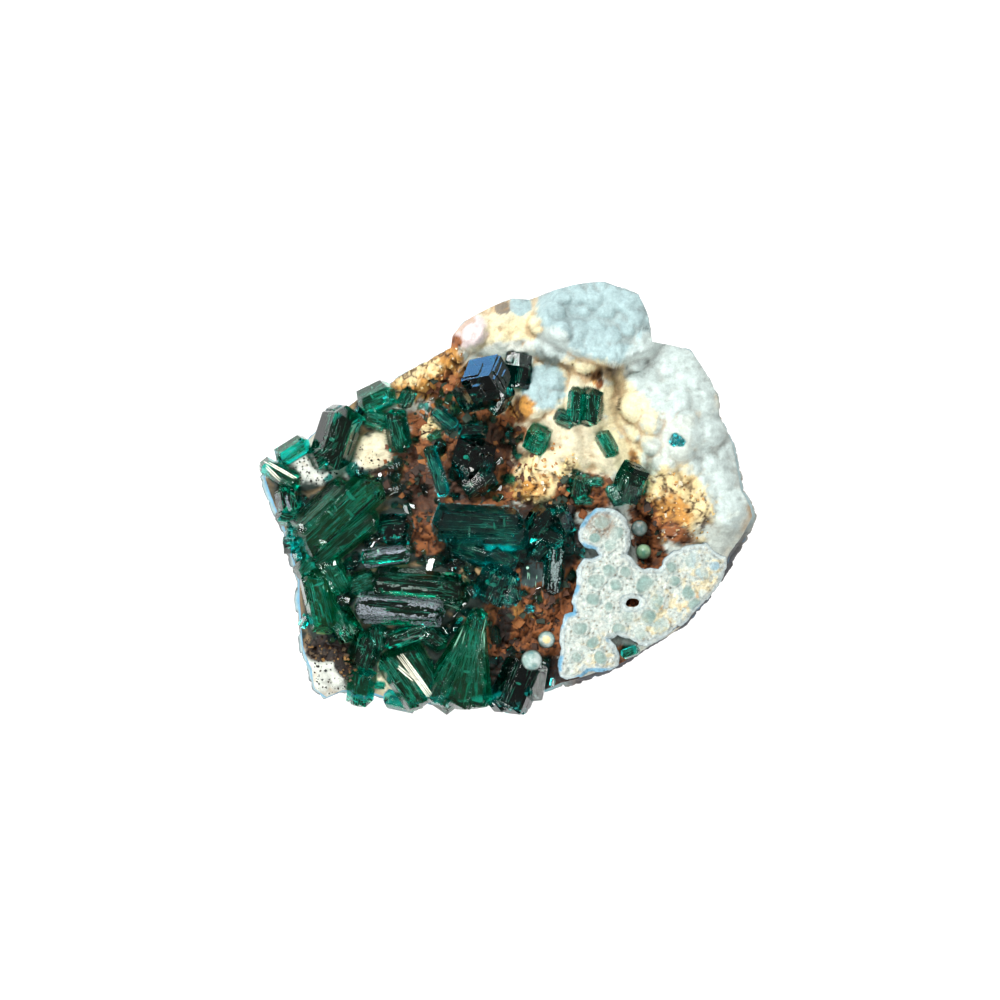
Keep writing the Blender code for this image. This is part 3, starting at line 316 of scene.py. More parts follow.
# Patches laid over each other in turn: colour, x, y, half length, half width, heading, softness
PATCHES = (
    ("ice", 16.0, 6.0, 16.0, 14.0, -40, 1.2),
    ("cream", 5.0, 8.0, 12.0, 12.0, 20, 1.2),
    ("butter", 14.0, 11.0, 5.0, 6.0, 10, 0.8),
    # Painted shade between the crystals
    ("green_shadow", -13.0, -9.0, 18.0, 19.0, 0, 3.0),
    ("rust", 4.0, -10.0, 6.0, 12.0, 0, 2.4),
    ("cream", 0.8, 20.6, 7.0, 4.6, 12, 1.6),
    ("butter", 1.6, 20.0, 5.2, 3.2, 5, 1.0),
    ("white", 0.0, 17.2, 4.6, 2.4, 10, 1.5),
    ("pink_white", -5.2, 20.8, 2.6, 3.0, 60, 1.6),
    ("rust", -6.6, 18.9, 1.3, 1.0, 50, 1.0),
    ("sky_blue", 11.2, 22.0, 8.2, 6.0, -12, 2.4),
    ("pale_blue", 5.2, 18.6, 2.6, 2.4, 0, 1.6),
    ("sky_blue", 4.4, 13.6, 3.2, 3.2, 0, 1.8),
    ("pale_blue", 20.0, 15.2, 7.4, 5.0, -40, 1.6),
    ("pale_blue", 26.0, 4.0, 4.0, 9.0, 12, 1.2),
    ("grey_brown", -0.6, 23.3, 1.2, 1.0, 0, 2.0),
    ("sky_blue", 1.5, 23.6, 1.6, 1.6, 0, 2.0),
    ("butter", 9.8, 15.8, 3.6, 1.8, -8, 0.8),
    ("ochre", 10.8, 14.9, 1.0, 1.4, -8, 0.8),
    ("rust", 11.2, 13.9, 0.6, 0.9, -20, 1.2),
    ("butter", 12.6, 10.4, 2.4, 4.6, 10, 0.8),
    ("butter", 14.6, 6.4, 2.2, 5.2, 15, 0.8),
    ("ochre", 15.6, 4.0, 0.8, 2.6, 15, 0.6),
    ("ochre", -10.0, 14.8, 5.8, 3.6, 28, 1.3),
    ("yellow", -11.0, 15.4, 3.8, 2.0, 28, 0.9),
    ("rust", -6.6, 12.2, 3.6, 3.6, 40, 1.3),
    ("ochre", 1.4, 10.8, 2.4, 1.8, 30, 1.0),
    ("rust", -6.0, 4.6, 10.0, 9.0, 20, 1.4),
    ("brown", -9.0, 1.0, 5.0, 6.0, 10, 0.8),
    ("brown", -1.5, 6.0, 3.0, 4.0, 40, 0.8),
    ("yellow", -9.2, 8.4, 1.8, 1.5, 0, 1.6),
    ("rust", -10.6, -4.8, 3.8, 3.4, 0, 1.6),
    ("yellow", 4.6, 2.4, 4.8, 4.4, 30, 1.5),
    ("ochre", 2.8, 1.2, 3.0, 2.2, 30, 0.8),
    ("cream", 5.4, 4.6, 2.6, 1.8, 30, 0.9),
    ("rust", 9.8, 0.6, 4.6, 2.8, 5, 1.4),
    ("yellow", 20.0, -0.6, 6.4, 5.0, -35, 1.0),
    ("ochre", 18.8, -2.2, 4.4, 3.6, -35, 0.9),
    ("rust", 16.8, -3.2, 2.2, 4.2, 12, 1.4),
    ("rust", 20.2, -4.2, 3.2, 1.6, -20, 0.9),
    ("rust", 17.8, -7.6, 2.2, 2.6, 0, 1.6),
    ("white", -21.0, 4.2, 6.6, 3.4, -4, 1.8),
    ("white", -24.8, 7.6, 2.0, 2.8, 40, 1.6),
    ("cream", -16.4, 6.6, 2.6, 3.8, 5, 1.6),
    ("brown", -15.4, 2.6, 2.2, 1.4, 20, 1.2),
    # Painted shade in the gaps around the crystals
    ("green_shadow", -20.0, -4.4, 9.6, 7.0, 40, 2.2),
    ("green_shadow", -16.0, -11.6, 14.0, 6.6, -4, 2.4),
    ("green_shadow", -10.0, -20.0, 12.0, 7.2, 5, 2.4),
    ("green_shadow", -24.0, -12.0, 4.6, 6.0, 0, 2.0),
    ("green_shadow", -26.0, -5.0, 4.0, 9.0, 14, 2.6),
    ("green_shadow", -27.6, 0.6, 3.0, 4.4, 0, 1.6),
    ("green_shadow", -18.6, 10.4, 5.0, 3.4, 30, 1.6),
    ("rust", -10.4, -4.4, 3.0, 3.0, 0, 1.4),
    # Painted shade below the middle crystals
    ("brown_shadow", -0.5, -6.0, 8.0, 4.6, 0, 1.6),
    ("tan", -4.4, -9.2, 2.0, 2.0, 0, 1.3),
    ("rust", 1.6, -15.2, 5.8, 5.6, 20, 2.0),
    ("ochre", 2.6, -13.4, 2.6, 2.0, 20, 0.7),
    ("rust", 4.8, -11.6, 3.6, 2.6, 10, 1.6),
    ("dark", -0.5, -15.6, 1.4, 2.8, -8, 1.2),
    ("dark", 1.8, -22.6, 5.6, 4.4, 0, 1.6),
    ("dark", 3.8, -5.0, 6.4, 5.0, 0, 2.0),
    ("dark", 6.0, -22.0, 4.0, 3.0, 20, 1.6),
    ("rust", 14.6, -12.8, 2.4, 2.4, 0, 2.0),
    ("rust", 13.4, -19.6, 2.4, 1.6, 20, 1.6),
    ("white", -22.4, -21.6, 4.6, 4.8, 40, 1.8),
    ("dark", -21.2, -18.2, 4.2, 2.0, 12, 1.6),
    ("dark", -19.6, -20.8, 1.6, 2.6, 30, 1.2),
    ("cream", -15.2, -23.6, 1.6, 2.0, 20, 1.4),
)


def clip(value):
    return np.clip(value, 0.0, 1.0)


def smoothstep(value):
    value = clip(value)
    return value * value * (3.0 - 2.0 * value)


def distance_share(x, y, centre_x, centre_y, half_x, half_y, heading):
    """0 in the middle of an ellipse, 1 on its edge."""
    turn = math.radians(heading)
    along = (x - centre_x) * math.cos(turn) + (y - centre_y) * math.sin(turn)
    across = (y - centre_y) * math.cos(turn) - (x - centre_x) * math.sin(turn)
    return (along / half_x) ** 2 + (across / half_y) ** 2


TABLE_SIZE = 4096
HASH_X, HASH_Y, HASH_Z = 73856093, 19349663, 83492791


def soft_noise(points, size, seed):
    """Smooth noise from -1 to 1 over points, with cells of a size."""
    table = np.random.default_rng(seed).uniform(-1.0, 1.0, TABLE_SIZE)
    scaled = np.asarray(points, float) / size
    cell = np.floor(scaled).astype(np.int64)
    part = scaled - cell
    ease = part * part * (3.0 - 2.0 * part)
    total = np.zeros(len(scaled))
    for corner in itertools.product((0, 1), repeat=3):
        key = cell + np.array(corner)
        mix = (key[:, 0] * HASH_X) ^ (key[:, 1] * HASH_Y) ^ (key[:, 2] * HASH_Z)
        weight = np.prod(np.where(np.array(corner) == 1, ease, 1.0 - ease), axis=1)
        total += weight * table[mix % TABLE_SIZE]
    return total


def layered_noise(points, size, seed):
    """Four layers of noise, each half as large and half as strong as the one before."""
    total = np.zeros(len(points))
    for k in range(4):
        total += soft_noise(points, size / 2**k, seed + k) / 2**k
    return total / 1.6


def scattered_cells(x, y, size, seed):
    """Distance to the nearest and the next of scattered points, in cells, and the nearest's mark."""
    random = np.random.default_rng(seed)
    jitter_x, jitter_y, marks = random.uniform(0.1, 0.9, (3, TABLE_SIZE))
    i = np.floor(x / size).astype(np.int64)
    j = np.floor(y / size).astype(np.int64)
    nearest = np.full(x.shape, 9.0)
    second = np.full(x.shape, 9.0)
    mark = np.zeros(x.shape)
    for step_i, step_j in itertools.product((-1, 0, 1), repeat=2):
        a = i + step_i
        b = j + step_j
        key = ((a * HASH_X) ^ (b * HASH_Y) ^ (seed * HASH_Z)) % TABLE_SIZE
        far = np.hypot(x / size - a - jitter_x[key], y / size - b - jitter_y[key])
        closer = far < nearest
        second = np.where(closer, nearest, np.minimum(second, far))
        mark = np.where(closer, marks[key], mark)
        nearest = np.where(closer, far, nearest)
    return nearest, second, mark


def broad_level(x, y):
    """The rock's height from its mounds and hollows alone."""
    level = np.full_like(x, ROCK_LEVEL)
    for sign, forms in ((1.0, MOUNDS), (-1.0, HOLLOWS)):
        for *ellipse, rise, steepness in forms.values():
            share = distance_share(x, y, *ellipse)
            level += sign * rise * smoothstep((1.0 - share) * steepness)
    rough = [noise.noise(Vector((a * 0.35, b * 0.35, 2.0))) for a, b in zip(x, y)]
    return level + 0.5 * np.array(rough)


def lump_list():
    """Places and radii of the lumps, spread as in the model."""
    random = np.random.default_rng(SEED)
    lumps = list(LONE_LUMPS)
    for centre_x, centre_y, half_x, half_y, heading, spacing, radius in LUMP_FIELDS.values():
        tries = int(12 * half_x * half_y / spacing**2) * 4
        turn = math.radians(heading)
        for _ in range(tries):
            along, across = random.uniform(-1, 1, 2)
            size = radius * random.uniform(0.8, 1.15)
            if along**2 + across**2 > 1:
                continue
            x = centre_x + along * half_x * math.cos(turn) - across * half_y * math.sin(turn)
            y = centre_y + along * half_x * math.sin(turn) + across * half_y * math.cos(turn)
            if all((x - a) ** 2 + (y - b) ** 2 > spacing**2 for a, b, _ in lumps):
                lumps.append((x, y, size))
    return np.array(lumps)


def lowest_point(crystal):
    tilt = math.radians(abs(crystal[4]))
    length, depth = crystal[6], crystal[8]
    return crystal[2] - 0.93 * (length * math.sin(tilt) + depth * math.cos(tilt))


def crystal_beds(x, y):
    """The rock that rises around each crystal to hold it."""
    bed = np.zeros_like(x)
    for rows in CRYSTALS.values():
        for crystal in rows:
            middle_x, middle_y, _, heading, tilt, _, length, width, depth, _ = crystal
            lean = math.radians(abs(tilt))
            half_length = (length * math.cos(lean) + depth * math.sin(lean)) / 2
            share = np.sqrt(distance_share(x, y, middle_x, middle_y, half_length, width / 2,
                                           heading))
            away = np.clip(share - 0.85, 0.0, None) * width / 2
            height = lowest_point(crystal) + BED_SHARE * depth
            bed = np.maximum(bed, height - BED_SLOPE * away)
    return bed


def rock_level(x, y, lumps):
    """The model's rock height: broad forms, beds and round lumps."""
    level = np.maximum(broad_level(x, y), crystal_beds(x, y))
    feet = broad_level(lumps[:, 0], lumps[:, 1])
    for (lump_x, lump_y, radius), foot in zip(lumps, feet):
        inside = radius**2 - (x - lump_x) ** 2 - (y - lump_y) ** 2
        ball = foot - LUMP_SINK * radius + np.sqrt(np.clip(inside, 0.0, None))
        level = np.where(inside > 0, np.maximum(level, ball), level)
    return level


def outline_reach(angle):
    """How far the rock reaches in a direction."""
    points = np.array(OUTLINE)
    angles = np.arctan2(points[:, 1], points[:, 0])
    order = np.argsort(angles)
    reach = np.hypot(points[:, 0], points[:, 1])[order]
    return np.interp(angle, angles[order], reach, period=2 * math.pi)


def disc_grid(cells):
    """A square grid bent into a disc: the direction and the share of the reach of its places."""
    steps = np.linspace(-1.0, 1.0, cells + 1)
    u, v = np.meshgrid(steps, steps, indexing="ij")
    wide = np.abs(u) >= np.abs(v)
    safe_u = np.where(u == 0, 1.0, u)
    safe_v = np.where(v == 0, 1.0, v)
    radius = np.where(wide, u, v)
    angle = np.where(wide, math.pi / 4 * v / safe_u, math.pi / 2 - math.pi / 4 * u / safe_v)
    x = radius * np.cos(angle)
    y = radius * np.sin(angle)
    return np.arctan2(y, x), np.hypot(x, y)


def blurred(grid, reach):
    """The grid's mean over a square, by running sums."""
    padded = np.pad(grid, reach + 1, mode="edge")
    sums = padded.cumsum(0).cumsum(1)
    width = 2 * reach + 1
    total = (sums[width:, width:] - sums[:-width, width:] - sums[width:, :-width]
             + sums[:-width, :-width])
    return total[:grid.shape[0], :grid.shape[1]] / width**2


def linear(colour):
    """A colour of 0 to 255, as the eye sees it, in the shader's own scale."""
    value = np.asarray(colour, float) / 255.0
    return np.where(value <= 0.04045, value / 12.92, ((value + 0.055) / 1.055) ** 2.4)


def painted(count, colour):
    """One colour of 0 to 255 for a number of points."""
    return np.tile(linear(colour), (count, 1))


def blend_colour(colour, goal, weight):
    """Moves colours towards one of the palette, or towards one given as 0 to 255."""
    goal = linear(PALETTE[goal] if isinstance(goal, str) else goal)
    return colour + (goal - colour) * weight[:, None]


def patch_weight(x, y, ellipse, softness, wobble):
    """How much of a place a patch covers; the wobble frays its edge."""
    share = distance_share(x, y, *ellipse)
    return smoothstep((1.0 - share) * softness * 1.8 + wobble * 1.5 - 0.15)


def kind_weight(x, y, kinds, wobble):
    """How much of a place is covered by the patches of some colours, the last one on top."""
    total = np.zeros_like(x)
    for name, *ellipse, softness in PATCHES:
        weight = patch_weight(x, y, ellipse, softness, wobble)
        total = total * (1 - weight) + weight * (name in kinds)
    return total


def grid_faces(rows, columns, keep=None):
    """Quads over a grid of points that is numbered row by row."""
    i, j = np.meshgrid(np.arange(rows - 1), np.arange(columns - 1), indexing="ij")
    corner = i * columns + j
    quads = np.stack([corner, corner + columns, corner + columns + 1, corner + 1], axis=-1)
    return quads[keep] if keep is not None else quads.reshape(-1, 4)


def put(name, data):
    """A new object in the scene."""
    made = bpy.data.objects.new(name, data)
    bpy.context.scene.collection.objects.link(made)
    return made


def place_piece(made, nodes=()):
    """Lets a piece ride on the one body, and hides the model's nodes that it stands for."""
    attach(made, "root")
    if nodes:
        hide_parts(*nodes)


def add_piece(name, points, faces, look, nodes=(), smooth=True, tints=None):
    """A piece from points in millimetres, with the painted colour of each point."""
    mesh = bpy.data.meshes.new(name)
    corners = faces.tolist() if isinstance(faces, np.ndarray) else faces
    mesh.from_pydata((np.asarray(points, float) * MM).tolist(), [], corners)
    if tints is not None:
        layer = mesh.color_attributes.new("tint", "FLOAT_COLOR", "POINT")
        rgba = np.concatenate([tints * PAINT_BRIGHTNESS, np.ones((len(tints), 1))], axis=1)
        layer.data.foreach_set("color", rgba.astype(np.float32).ravel())
    mesh.materials.append(look)
    if smooth:
        mesh.shade_smooth()
    mesh.validate()
    place_piece(put(name, mesh), nodes)


# Node materials

def new_material(name):
    made = bpy.data.materials.new(name)
    made.use_nodes = True
    return made, made.node_tree, made.node_tree.nodes["Principled BSDF"]


def node(tree, kind, **values):
    made = tree.nodes.new(kind)
    for key, value in values.items():
        made.inputs[key].default_value = value
    return made


def noise_node(tree, vector, size, detail=4.0, roughness=0.6):
    """Noise with features of about a size in millimetres."""
    made = node(tree, "ShaderNodeTexNoise", Scale=1.0 / (size * MM), Detail=detail,
                Roughness=roughness)
    tree.links.new(vector, made.inputs["Vector"])
    return made.outputs["Fac"]


def cells_node(tree, vector, size):
    """Distance to the nearest of scattered points, about a size apart in millimetres."""
    made = node(tree, "ShaderNodeTexVoronoi", Scale=1.0 / (size * MM))
    tree.links.new(vector, made.inputs["Vector"])
    return made.outputs["Distance"]


def ranged(tree, value, low, high, out_low=0.0, out_high=1.0):
    made = node(tree, "ShaderNodeMapRange", **{"From Min": low, "From Max": high,
                                               "To Min": out_low, "To Max": out_high})
    tree.links.new(value, made.inputs["Value"])
    return made.outputs["Result"]


def mixed(tree, factor, first, second, blend="MIX"):
    """A colour mix; the factor is a socket or a number, each colour a socket or three numbers."""
    made = tree.nodes.new("ShaderNodeMix")
    made.data_type = "RGBA"
    made.blend_type = blend
    for socket, value in ((made.inputs[0], factor), (made.inputs[6], first),
                          (made.inputs[7], second)):
        if isinstance(value, bpy.types.NodeSocket):
            tree.links.new(value, socket)
        elif socket.type == "RGBA":
            socket.default_value = (*value, 1.0)
        else:
            socket.default_value = value
    return made.outputs[2]


def bumped(tree, height, distance, strength=1.0, normal=None):
    """Bump of a height, as deep as a distance in millimetres."""
    made = node(tree, "ShaderNodeBump", Strength=strength, Distance=distance * MM)
    tree.links.new(height, made.inputs["Height"])
    if normal is not None:
        tree.links.new(normal, made.inputs["Normal"])
    return made.outputs["Normal"]


def tinted_material(name, fine, roughness, contrast=0.35, bump=0.05, specks=0.0):
    """A stony material over the painted tint: finer mottling, grain and roughness."""
    made, tree, shader = new_material(name)
    place = tree.nodes.new("ShaderNodeTexCoord").outputs["Object"]
    tint = tree.nodes.new("ShaderNodeVertexColor")
    tint.layer_name = "tint"
    coarse = noise_node(tree, place, fine * 3.0)
    small = noise_node(tree, place, fine, 5.0, 0.7)
    shade = ranged(tree, coarse, 0.3, 0.7, 1.0 - contrast, 1.0 + contrast * 0.5)
    shade_fine = ranged(tree, small, 0.3, 0.7, 1.0 - contrast, 1.0 + contrast * 0.5)
    colour = mixed(tree, 1.0, tint.outputs["Color"], shade, "MULTIPLY")
    colour = mixed(tree, 1.0, colour, shade_fine, "MULTIPLY")
    if specks:
        dots = cells_node(tree, place, fine * 2.0)
        colour = mixed(tree, ranged(tree, dots, 0.24, 0.12, 0.0, specks), colour,
                       (0.10, 0.07, 0.05))
    tree.links.new(colour, shader.inputs["Base Color"])
    tree.links.new(ranged(tree, small, 0.3, 0.7, roughness - 0.14, roughness + 0.1),
                   shader.inputs["Roughness"])
    grain = bumped(tree, small, bump * 1.6)
    tree.links.new(bumped(tree, cells_node(tree, place, fine * 0.8), bump, 0.7, grain),
                   shader.inputs["Normal"])
    return made


DIOPTASE_IOR = 1.66


def crystal_material(name, colour, density, relief):
    """Clear green stuff: plain transmission, with the colour taken off along the way."""
    made, tree, shader = new_material(name)
    shader.inputs["Base Color"].default_value = (1.0, 1.0, 1.0, 1.0)
    shader.inputs["Transmission Weight"].default_value = 1.0
    shader.inputs["IOR"].default_value = DIOPTASE_IOR
    inside = node(tree, "ShaderNodeVolumeAbsorption", Color=(*colour, 1.0), Density=density)
    tree.links.new(inside.outputs[0], tree.nodes["Material Output"].inputs["Volume"])
    grain = tree.nodes.new("ShaderNodeAttribute")
    grain.attribute_name = "grain"
    stretch = node(tree, "ShaderNodeMapping")
    stretch.inputs["Scale"].default_value = (1.0, 1.0, 0.07)
    tree.links.new(grain.outputs["Vector"], stretch.inputs["Vector"])
    lines = node(tree, "ShaderNodeTexNoise", Scale=7.0, Detail=3.0, Roughness=0.6)
    tree.links.new(stretch.outputs["Vector"], lines.inputs["Vector"])
    pits = node(tree, "ShaderNodeTexNoise", Scale=2.6, Detail=4.0, Roughness=0.65)
    tree.links.new(grain.outputs["Vector"], pits.inputs["Vector"])
    along = bumped(tree, lines.outputs["Fac"], 0.035 * relief, 0.8)
    tree.links.new(bumped(tree, pits.outputs["Fac"], 0.03 * relief, 0.4, along),
                   shader.inputs["Normal"])
    tree.links.new(ranged(tree, pits.outputs["Fac"], 0.45, 0.75, 0.015, 0.02 + 0.08 * relief),
                   shader.inputs["Roughness"])
    return made


def veil_material(name, colour, roughness):
    """Cracks and cleavage planes that throw the light back."""
    made, tree, shader = new_material(name)
    place = tree.nodes.new("ShaderNodeTexCoord").outputs["Object"]
    cloud = noise_node(tree, place, 0.35)
    dark = tuple(value * 0.55 for value in colour)
    tree.links.new(mixed(tree, ranged(tree, cloud, 0.35, 0.65), dark, colour),
                   shader.inputs["Base Color"])
    tree.links.new(ranged(tree, cloud, 0.3, 0.7, roughness, roughness + 0.25),
                   shader.inputs["Roughness"])
    tree.links.new(bumped(tree, cloud, 0.03), shader.inputs["Normal"])
    return made


# Prisms

SIDE_FACES = [(k, (k + 1) % 6, 6 + (k + 1) % 6, 6 + k) for k in range(6)]
BACK_FACES = [(12, (k - 1) % 6, k, (k + 1) % 6) for k in (1, 3, 5)]
FRONT_FACES = [(13, 6 + (k - 1) % 6, 6 + k, 6 + (k + 1) % 6) for k in (0, 2, 4)]
PRISM_FACES = SIDE_FACES + BACK_FACES + FRONT_FACES


class Prism:
    """One crystal of the model: where it lies, which way it points and how large it is."""

    def __init__(self, row, grow=0.0):
        x, y, top, heading, tilt, roll, length, width, depth, widening = row
        self.half_width = width / 2 + grow
        self.half_depth = depth / 2 / math.sin(math.radians(60)) + grow
        self.half_length = length / 2 + grow
        self.widening = widening
        forward, rise, spin = (math.radians(value) for value in (heading, tilt, roll))
        self.axis = Vector((math.cos(forward) * math.cos(rise), math.sin(forward) * math.cos(rise),
                            math.sin(rise)))
        side = Vector((0, 0, 1)).cross(self.axis).normalized()
        up = self.axis.cross(side)
        self.across = side * math.cos(spin) + up * math.sin(spin)
        self.above = up * math.cos(spin) - side * math.sin(spin)
        self.basis = np.array([self.across, self.above, self.axis])
        self.centre = Vector((0, 0, 0))
        points = self.points()
        low, high = points.min(0), points.max(0)
        self.centre = Vector((x - (low[0] + high[0]) / 2, y - (low[1] + high[1]) / 2,
                              top + grow - high[2]))

    def place(self, local):
        """World places of points given by across, above and along."""
        return np.asarray(local) @ self.basis + np.array(self.centre)

    def local(self, points):
        """The other way round."""
        return (np.asarray(points) - np.array(self.centre)) @ self.basis.T

    def points(self, scale=1.0, length_scale=1.0, offset=(0.0, 0.0, 0.0)):
        """Corners of this prism, or of a smaller one that is parallel to it, inside it."""
        half_width, half_depth = self.half_width * scale, self.half_depth * scale
        half_length = self.half_length * length_scale
        rise = TIP_RISE * (half_width + half_depth) / 2
        corners = []
        for end in (-1.0, 1.0):
            for k in range(6):
                angle = math.radians(60 * k)
                drop = rise * (1.0 if (k % 2 == 0) == (end > 0) else 0.5)
                corners.append((math.cos(angle), math.sin(angle), end * (half_length - drop)))
        corners += [(0.0, 0.0, -half_length), (0.0, 0.0, half_length)]
        local = []
        for a, b, along in corners:
            far = along + offset[2]
            wide = 1.0 + self.widening * far / self.half_length
            local.append(((a * half_width + offset[0]) * wide, (b * half_depth + offset[1]) * wide,
                          far))
        return self.place(local)

    def planes(self):
        """Outward normals and offsets of the faces."""
        points = self.points()
        middle = points.mean(0)
        normals = []
        offsets = []
        for face in PRISM_FACES:
            a, b, c, d = points[list(face)]
            normal = np.cross(c - a, d - b)
            normal /= np.linalg.norm(normal)
            normal *= np.sign(np.dot(normal, a - middle))
            normals.append(normal)
            offsets.append(np.dot(normal, (a + b + c + d) / 4))
        return np.array(normals), np.array(offsets)

    def envelope(self, x, y):
        """Lowest and highest height of the prism over each place; the first is higher outside."""
        low = np.full(x.shape, -99.0)
        high = np.full(x.shape, 99.0)
        for (nx, ny, nz), offset in zip(*self.planes()):
            if abs(nz) < 1e-6:
                outside = nx * x + ny * y > offset
                low = np.where(outside, 99.0, low)
                continue
            height = (offset - nx * x - ny * y) / nz
            if nz > 0:
                high = np.minimum(high, height)
            else:
                low = np.maximum(low, height)
        return low, high


PRISMS = {name: [Prism(row) for row in rows] for name, rows in CRYSTALS.items()}


def crystal_tops(x, y, names=None):
    """The highest crystal surface over each place, or a very low value where there is none."""
    top = np.full(x.shape, -99.0)
    for name in names or PRISMS:
        for prism in PRISMS[name]:
            low, high = prism.envelope(x, y)
            top = np.where(low < high, np.maximum(top, high), top)
    return top


# The rock

BOTRYOIDAL = ("pale_blue", "sky_blue", "cream", "butter", "white", "pink_white", "ice",
              "grey_brown")
CRUMBLY = ("ochre", "yellow", "rust", "brown", "dark", "tan")
LUMPS = lump_list()


def flat(x, y):
    """Places on the level plane, for the noise."""
    return np.stack([x, y, np.zeros_like(x)], axis=1)


def domes(near, reach=0.72):
    """Half balls around scattered points."""
    return np.sqrt(clip(1.0 - (near / reach) ** 2))


# Above this height the rock's lumps are pressed together, to stay inside the model's box
SOFT_TOP = 21.2
SOFT_RISE = 0.4


def rock_surface(x, y):
    """The rock's detailed height at flat arrays of places, and how crumbly it is there."""
    spots = flat(x, y)
    warped_x = x + 0.4 * soft_noise(spots, 1.7, 21)
    warped_y = y + 0.4 * soft_noise(spots, 1.7, 22)
    wobble = 0.45 * layered_noise(spots, 1.8, 41)
    round_share = kind_weight(x, y, BOTRYOIDAL, wobble)
    crumb_share = kind_weight(x, y, CRUMBLY, wobble)
    large, _, large_mark = scattered_cells(warped_x, warped_y, 1.7, 31)
    small, _, small_mark = scattered_cells(warped_x, warped_y, 0.95, 32)
    bubbles = 0.22 * domes(large) * (0.4 + 0.9 * large_mark)
    bubbles += 0.22 * domes(small) * (0.5 + 0.7 * small_mark)
    block, block_next, block_mark = scattered_cells(warped_x, warped_y, 1.6, 33)
    bit, bit_next, bit_mark = scattered_cells(warped_x * 1.3, warped_y, 0.62, 34)
    cracks = smoothstep(1.0 - (block_next - block) / 0.14) * 0.42
    blocks = 0.9 * (block_mark - 0.5) - cracks + 0.5 * (bit_mark - 0.5)
    blocks -= 0.12 * smoothstep(1.0 - (bit_next - bit) / 0.2)
    blocks += 0.30 * layered_noise(spots, 1.3, 35)
    level = rock_level(x, y, LUMPS)
    level += round_share * (bubbles - 0.2) + crumb_share * blocks
    level += 0.12 * layered_noise(spots, 0.9, 51) + 0.22 * layered_noise(spots, 3.2, 52)
    over = np.clip(level - SOFT_TOP, 0.0, None)
    level -= over - SOFT_RISE * np.tanh(over / SOFT_RISE)
    return level, crumb_share


def under_crystals(x, y, level, tint):
    """Lowers the rock to just below the crystals that lie in it, and colours it there with painted
    light and shade that brightens or darkens each crystal.
    """
    for name, prisms in PRISMS.items():
        for k, prism in enumerate(prisms):
            # Painted light and shade under each crystal
            bed = linear(BED_LIGHTING_OVERRIDES.get((name, k), BED_LIGHTING_COLOURS[GROUP_OF.get(name, "deep")]))
            low, high = prism.envelope(x, y)
            hidden = (low < high) & (low - 0.10 < level)
            level = np.where(hidden, low - 0.10, level)
            tint = np.where(hidden[:, None], bed, tint)
    for ball_x, ball_y, ball_z, radius in SPHERULES.values():
        inside = (radius + 0.12) ** 2 - (x - ball_x) ** 2 - (y - ball_y) ** 2
        floor_of_ball = ball_z - np.sqrt(np.clip(inside, 0.0, None))
        level = np.where(inside > 0, np.minimum(level, floor_of_ball), level)
    return level, tint


def outline_distance(x, y, points):
    """Distance inside an outline; negative outside."""
    best = np.full(x.shape, 1e9)
    inside = np.zeros(x.shape, bool)
    for k, (ax, ay) in enumerate(points):
        bx, by = points[(k + 1) % len(points)]
        ex, ey = bx - ax, by - ay
        t = clip(((x - ax) * ex + (y - ay) * ey) / (ex * ex + ey * ey))
        best = np.minimum(best, np.hypot(x - ax - t * ex, y - ay - t * ey))
        crosses = (ay > y) != (by > y)
        inside ^= crosses & (x < ax + (y - ay) * ex / np.where(ey == 0, 1e-9, ey))
    return np.where(inside, best, -best)


def rock_tint(x, y, dent, crumb_share):
    """The painted colour of the rock's top: its patches, with creases darkened partly by stain and
    partly by painted shade, and crumbly ridges painted lighter.
    """
    spots = flat(x, y)
    wobble = 0.55 * layered_noise(spots, 2.0, 61) + 0.45 * layered_noise(spots, 0.5, 62)
    colour = painted(len(x), PALETTE["ice"])
    for name, *ellipse, softness in PATCHES:
        colour = blend_colour(colour, name, patch_weight(x, y, ellipse, softness, wobble))
    # Creases: the tan is partly stain and partly painted shade; navy in the blue rock's creases and
    # brown in the crumbly rock's creases are painted shade
    creases = smoothstep((dent - 0.02) / 0.22)
    stain = clip(0.5 + 0.9 * layered_noise(spots, 5.0, 63))
    blue = kind_weight(x, y, ("sky_blue", "pale_blue"), wobble)
    smooth = creases * (1 - crumb_share)
    colour = blend_colour(colour, "tan", smooth * (0.2 + 0.6 * stain) * (1 - 0.8 * blue))
    colour = blend_colour(colour, "navy", smooth * blue * 0.16)
    colour = blend_colour(colour, "brown", creases * crumb_share * 0.8)
    # Lighter on the crumbly rock's ridges: painted highlight, over random mottling
    light = 1.0 + 0.10 * layered_noise(spots, 0.7, 64) + 0.25 * clip(-dent / 0.4) * crumb_share
    return clip(colour * light[:, None])


# The side's inset at shares of the height, up to the step of the rim
RIM_SHARE = 0.80
SIDE_SHARES = (0.0, 0.08, 0.26, 0.52, RIM_SHARE)
SIDE_INSETS = (3.3, 2.4, 1.4, 0.5, 0.0)
SIDE_NOISE = 1.5
# Grid cells across the top, rings down the side, and the rings of the underside
TOP_CELLS = 240
SIDE_STEPS = 25
BOTTOM_RINGS = (0.985, 0.95, *np.linspace(0.89, 0.06, 13))


def sector(arc, middle, half, softness):
    """1 where a direction in degrees is within so far of a middle, eased at the ends."""
    return smoothstep((half - np.abs((arc - middle + 180) % 360 - 180)) / softness)


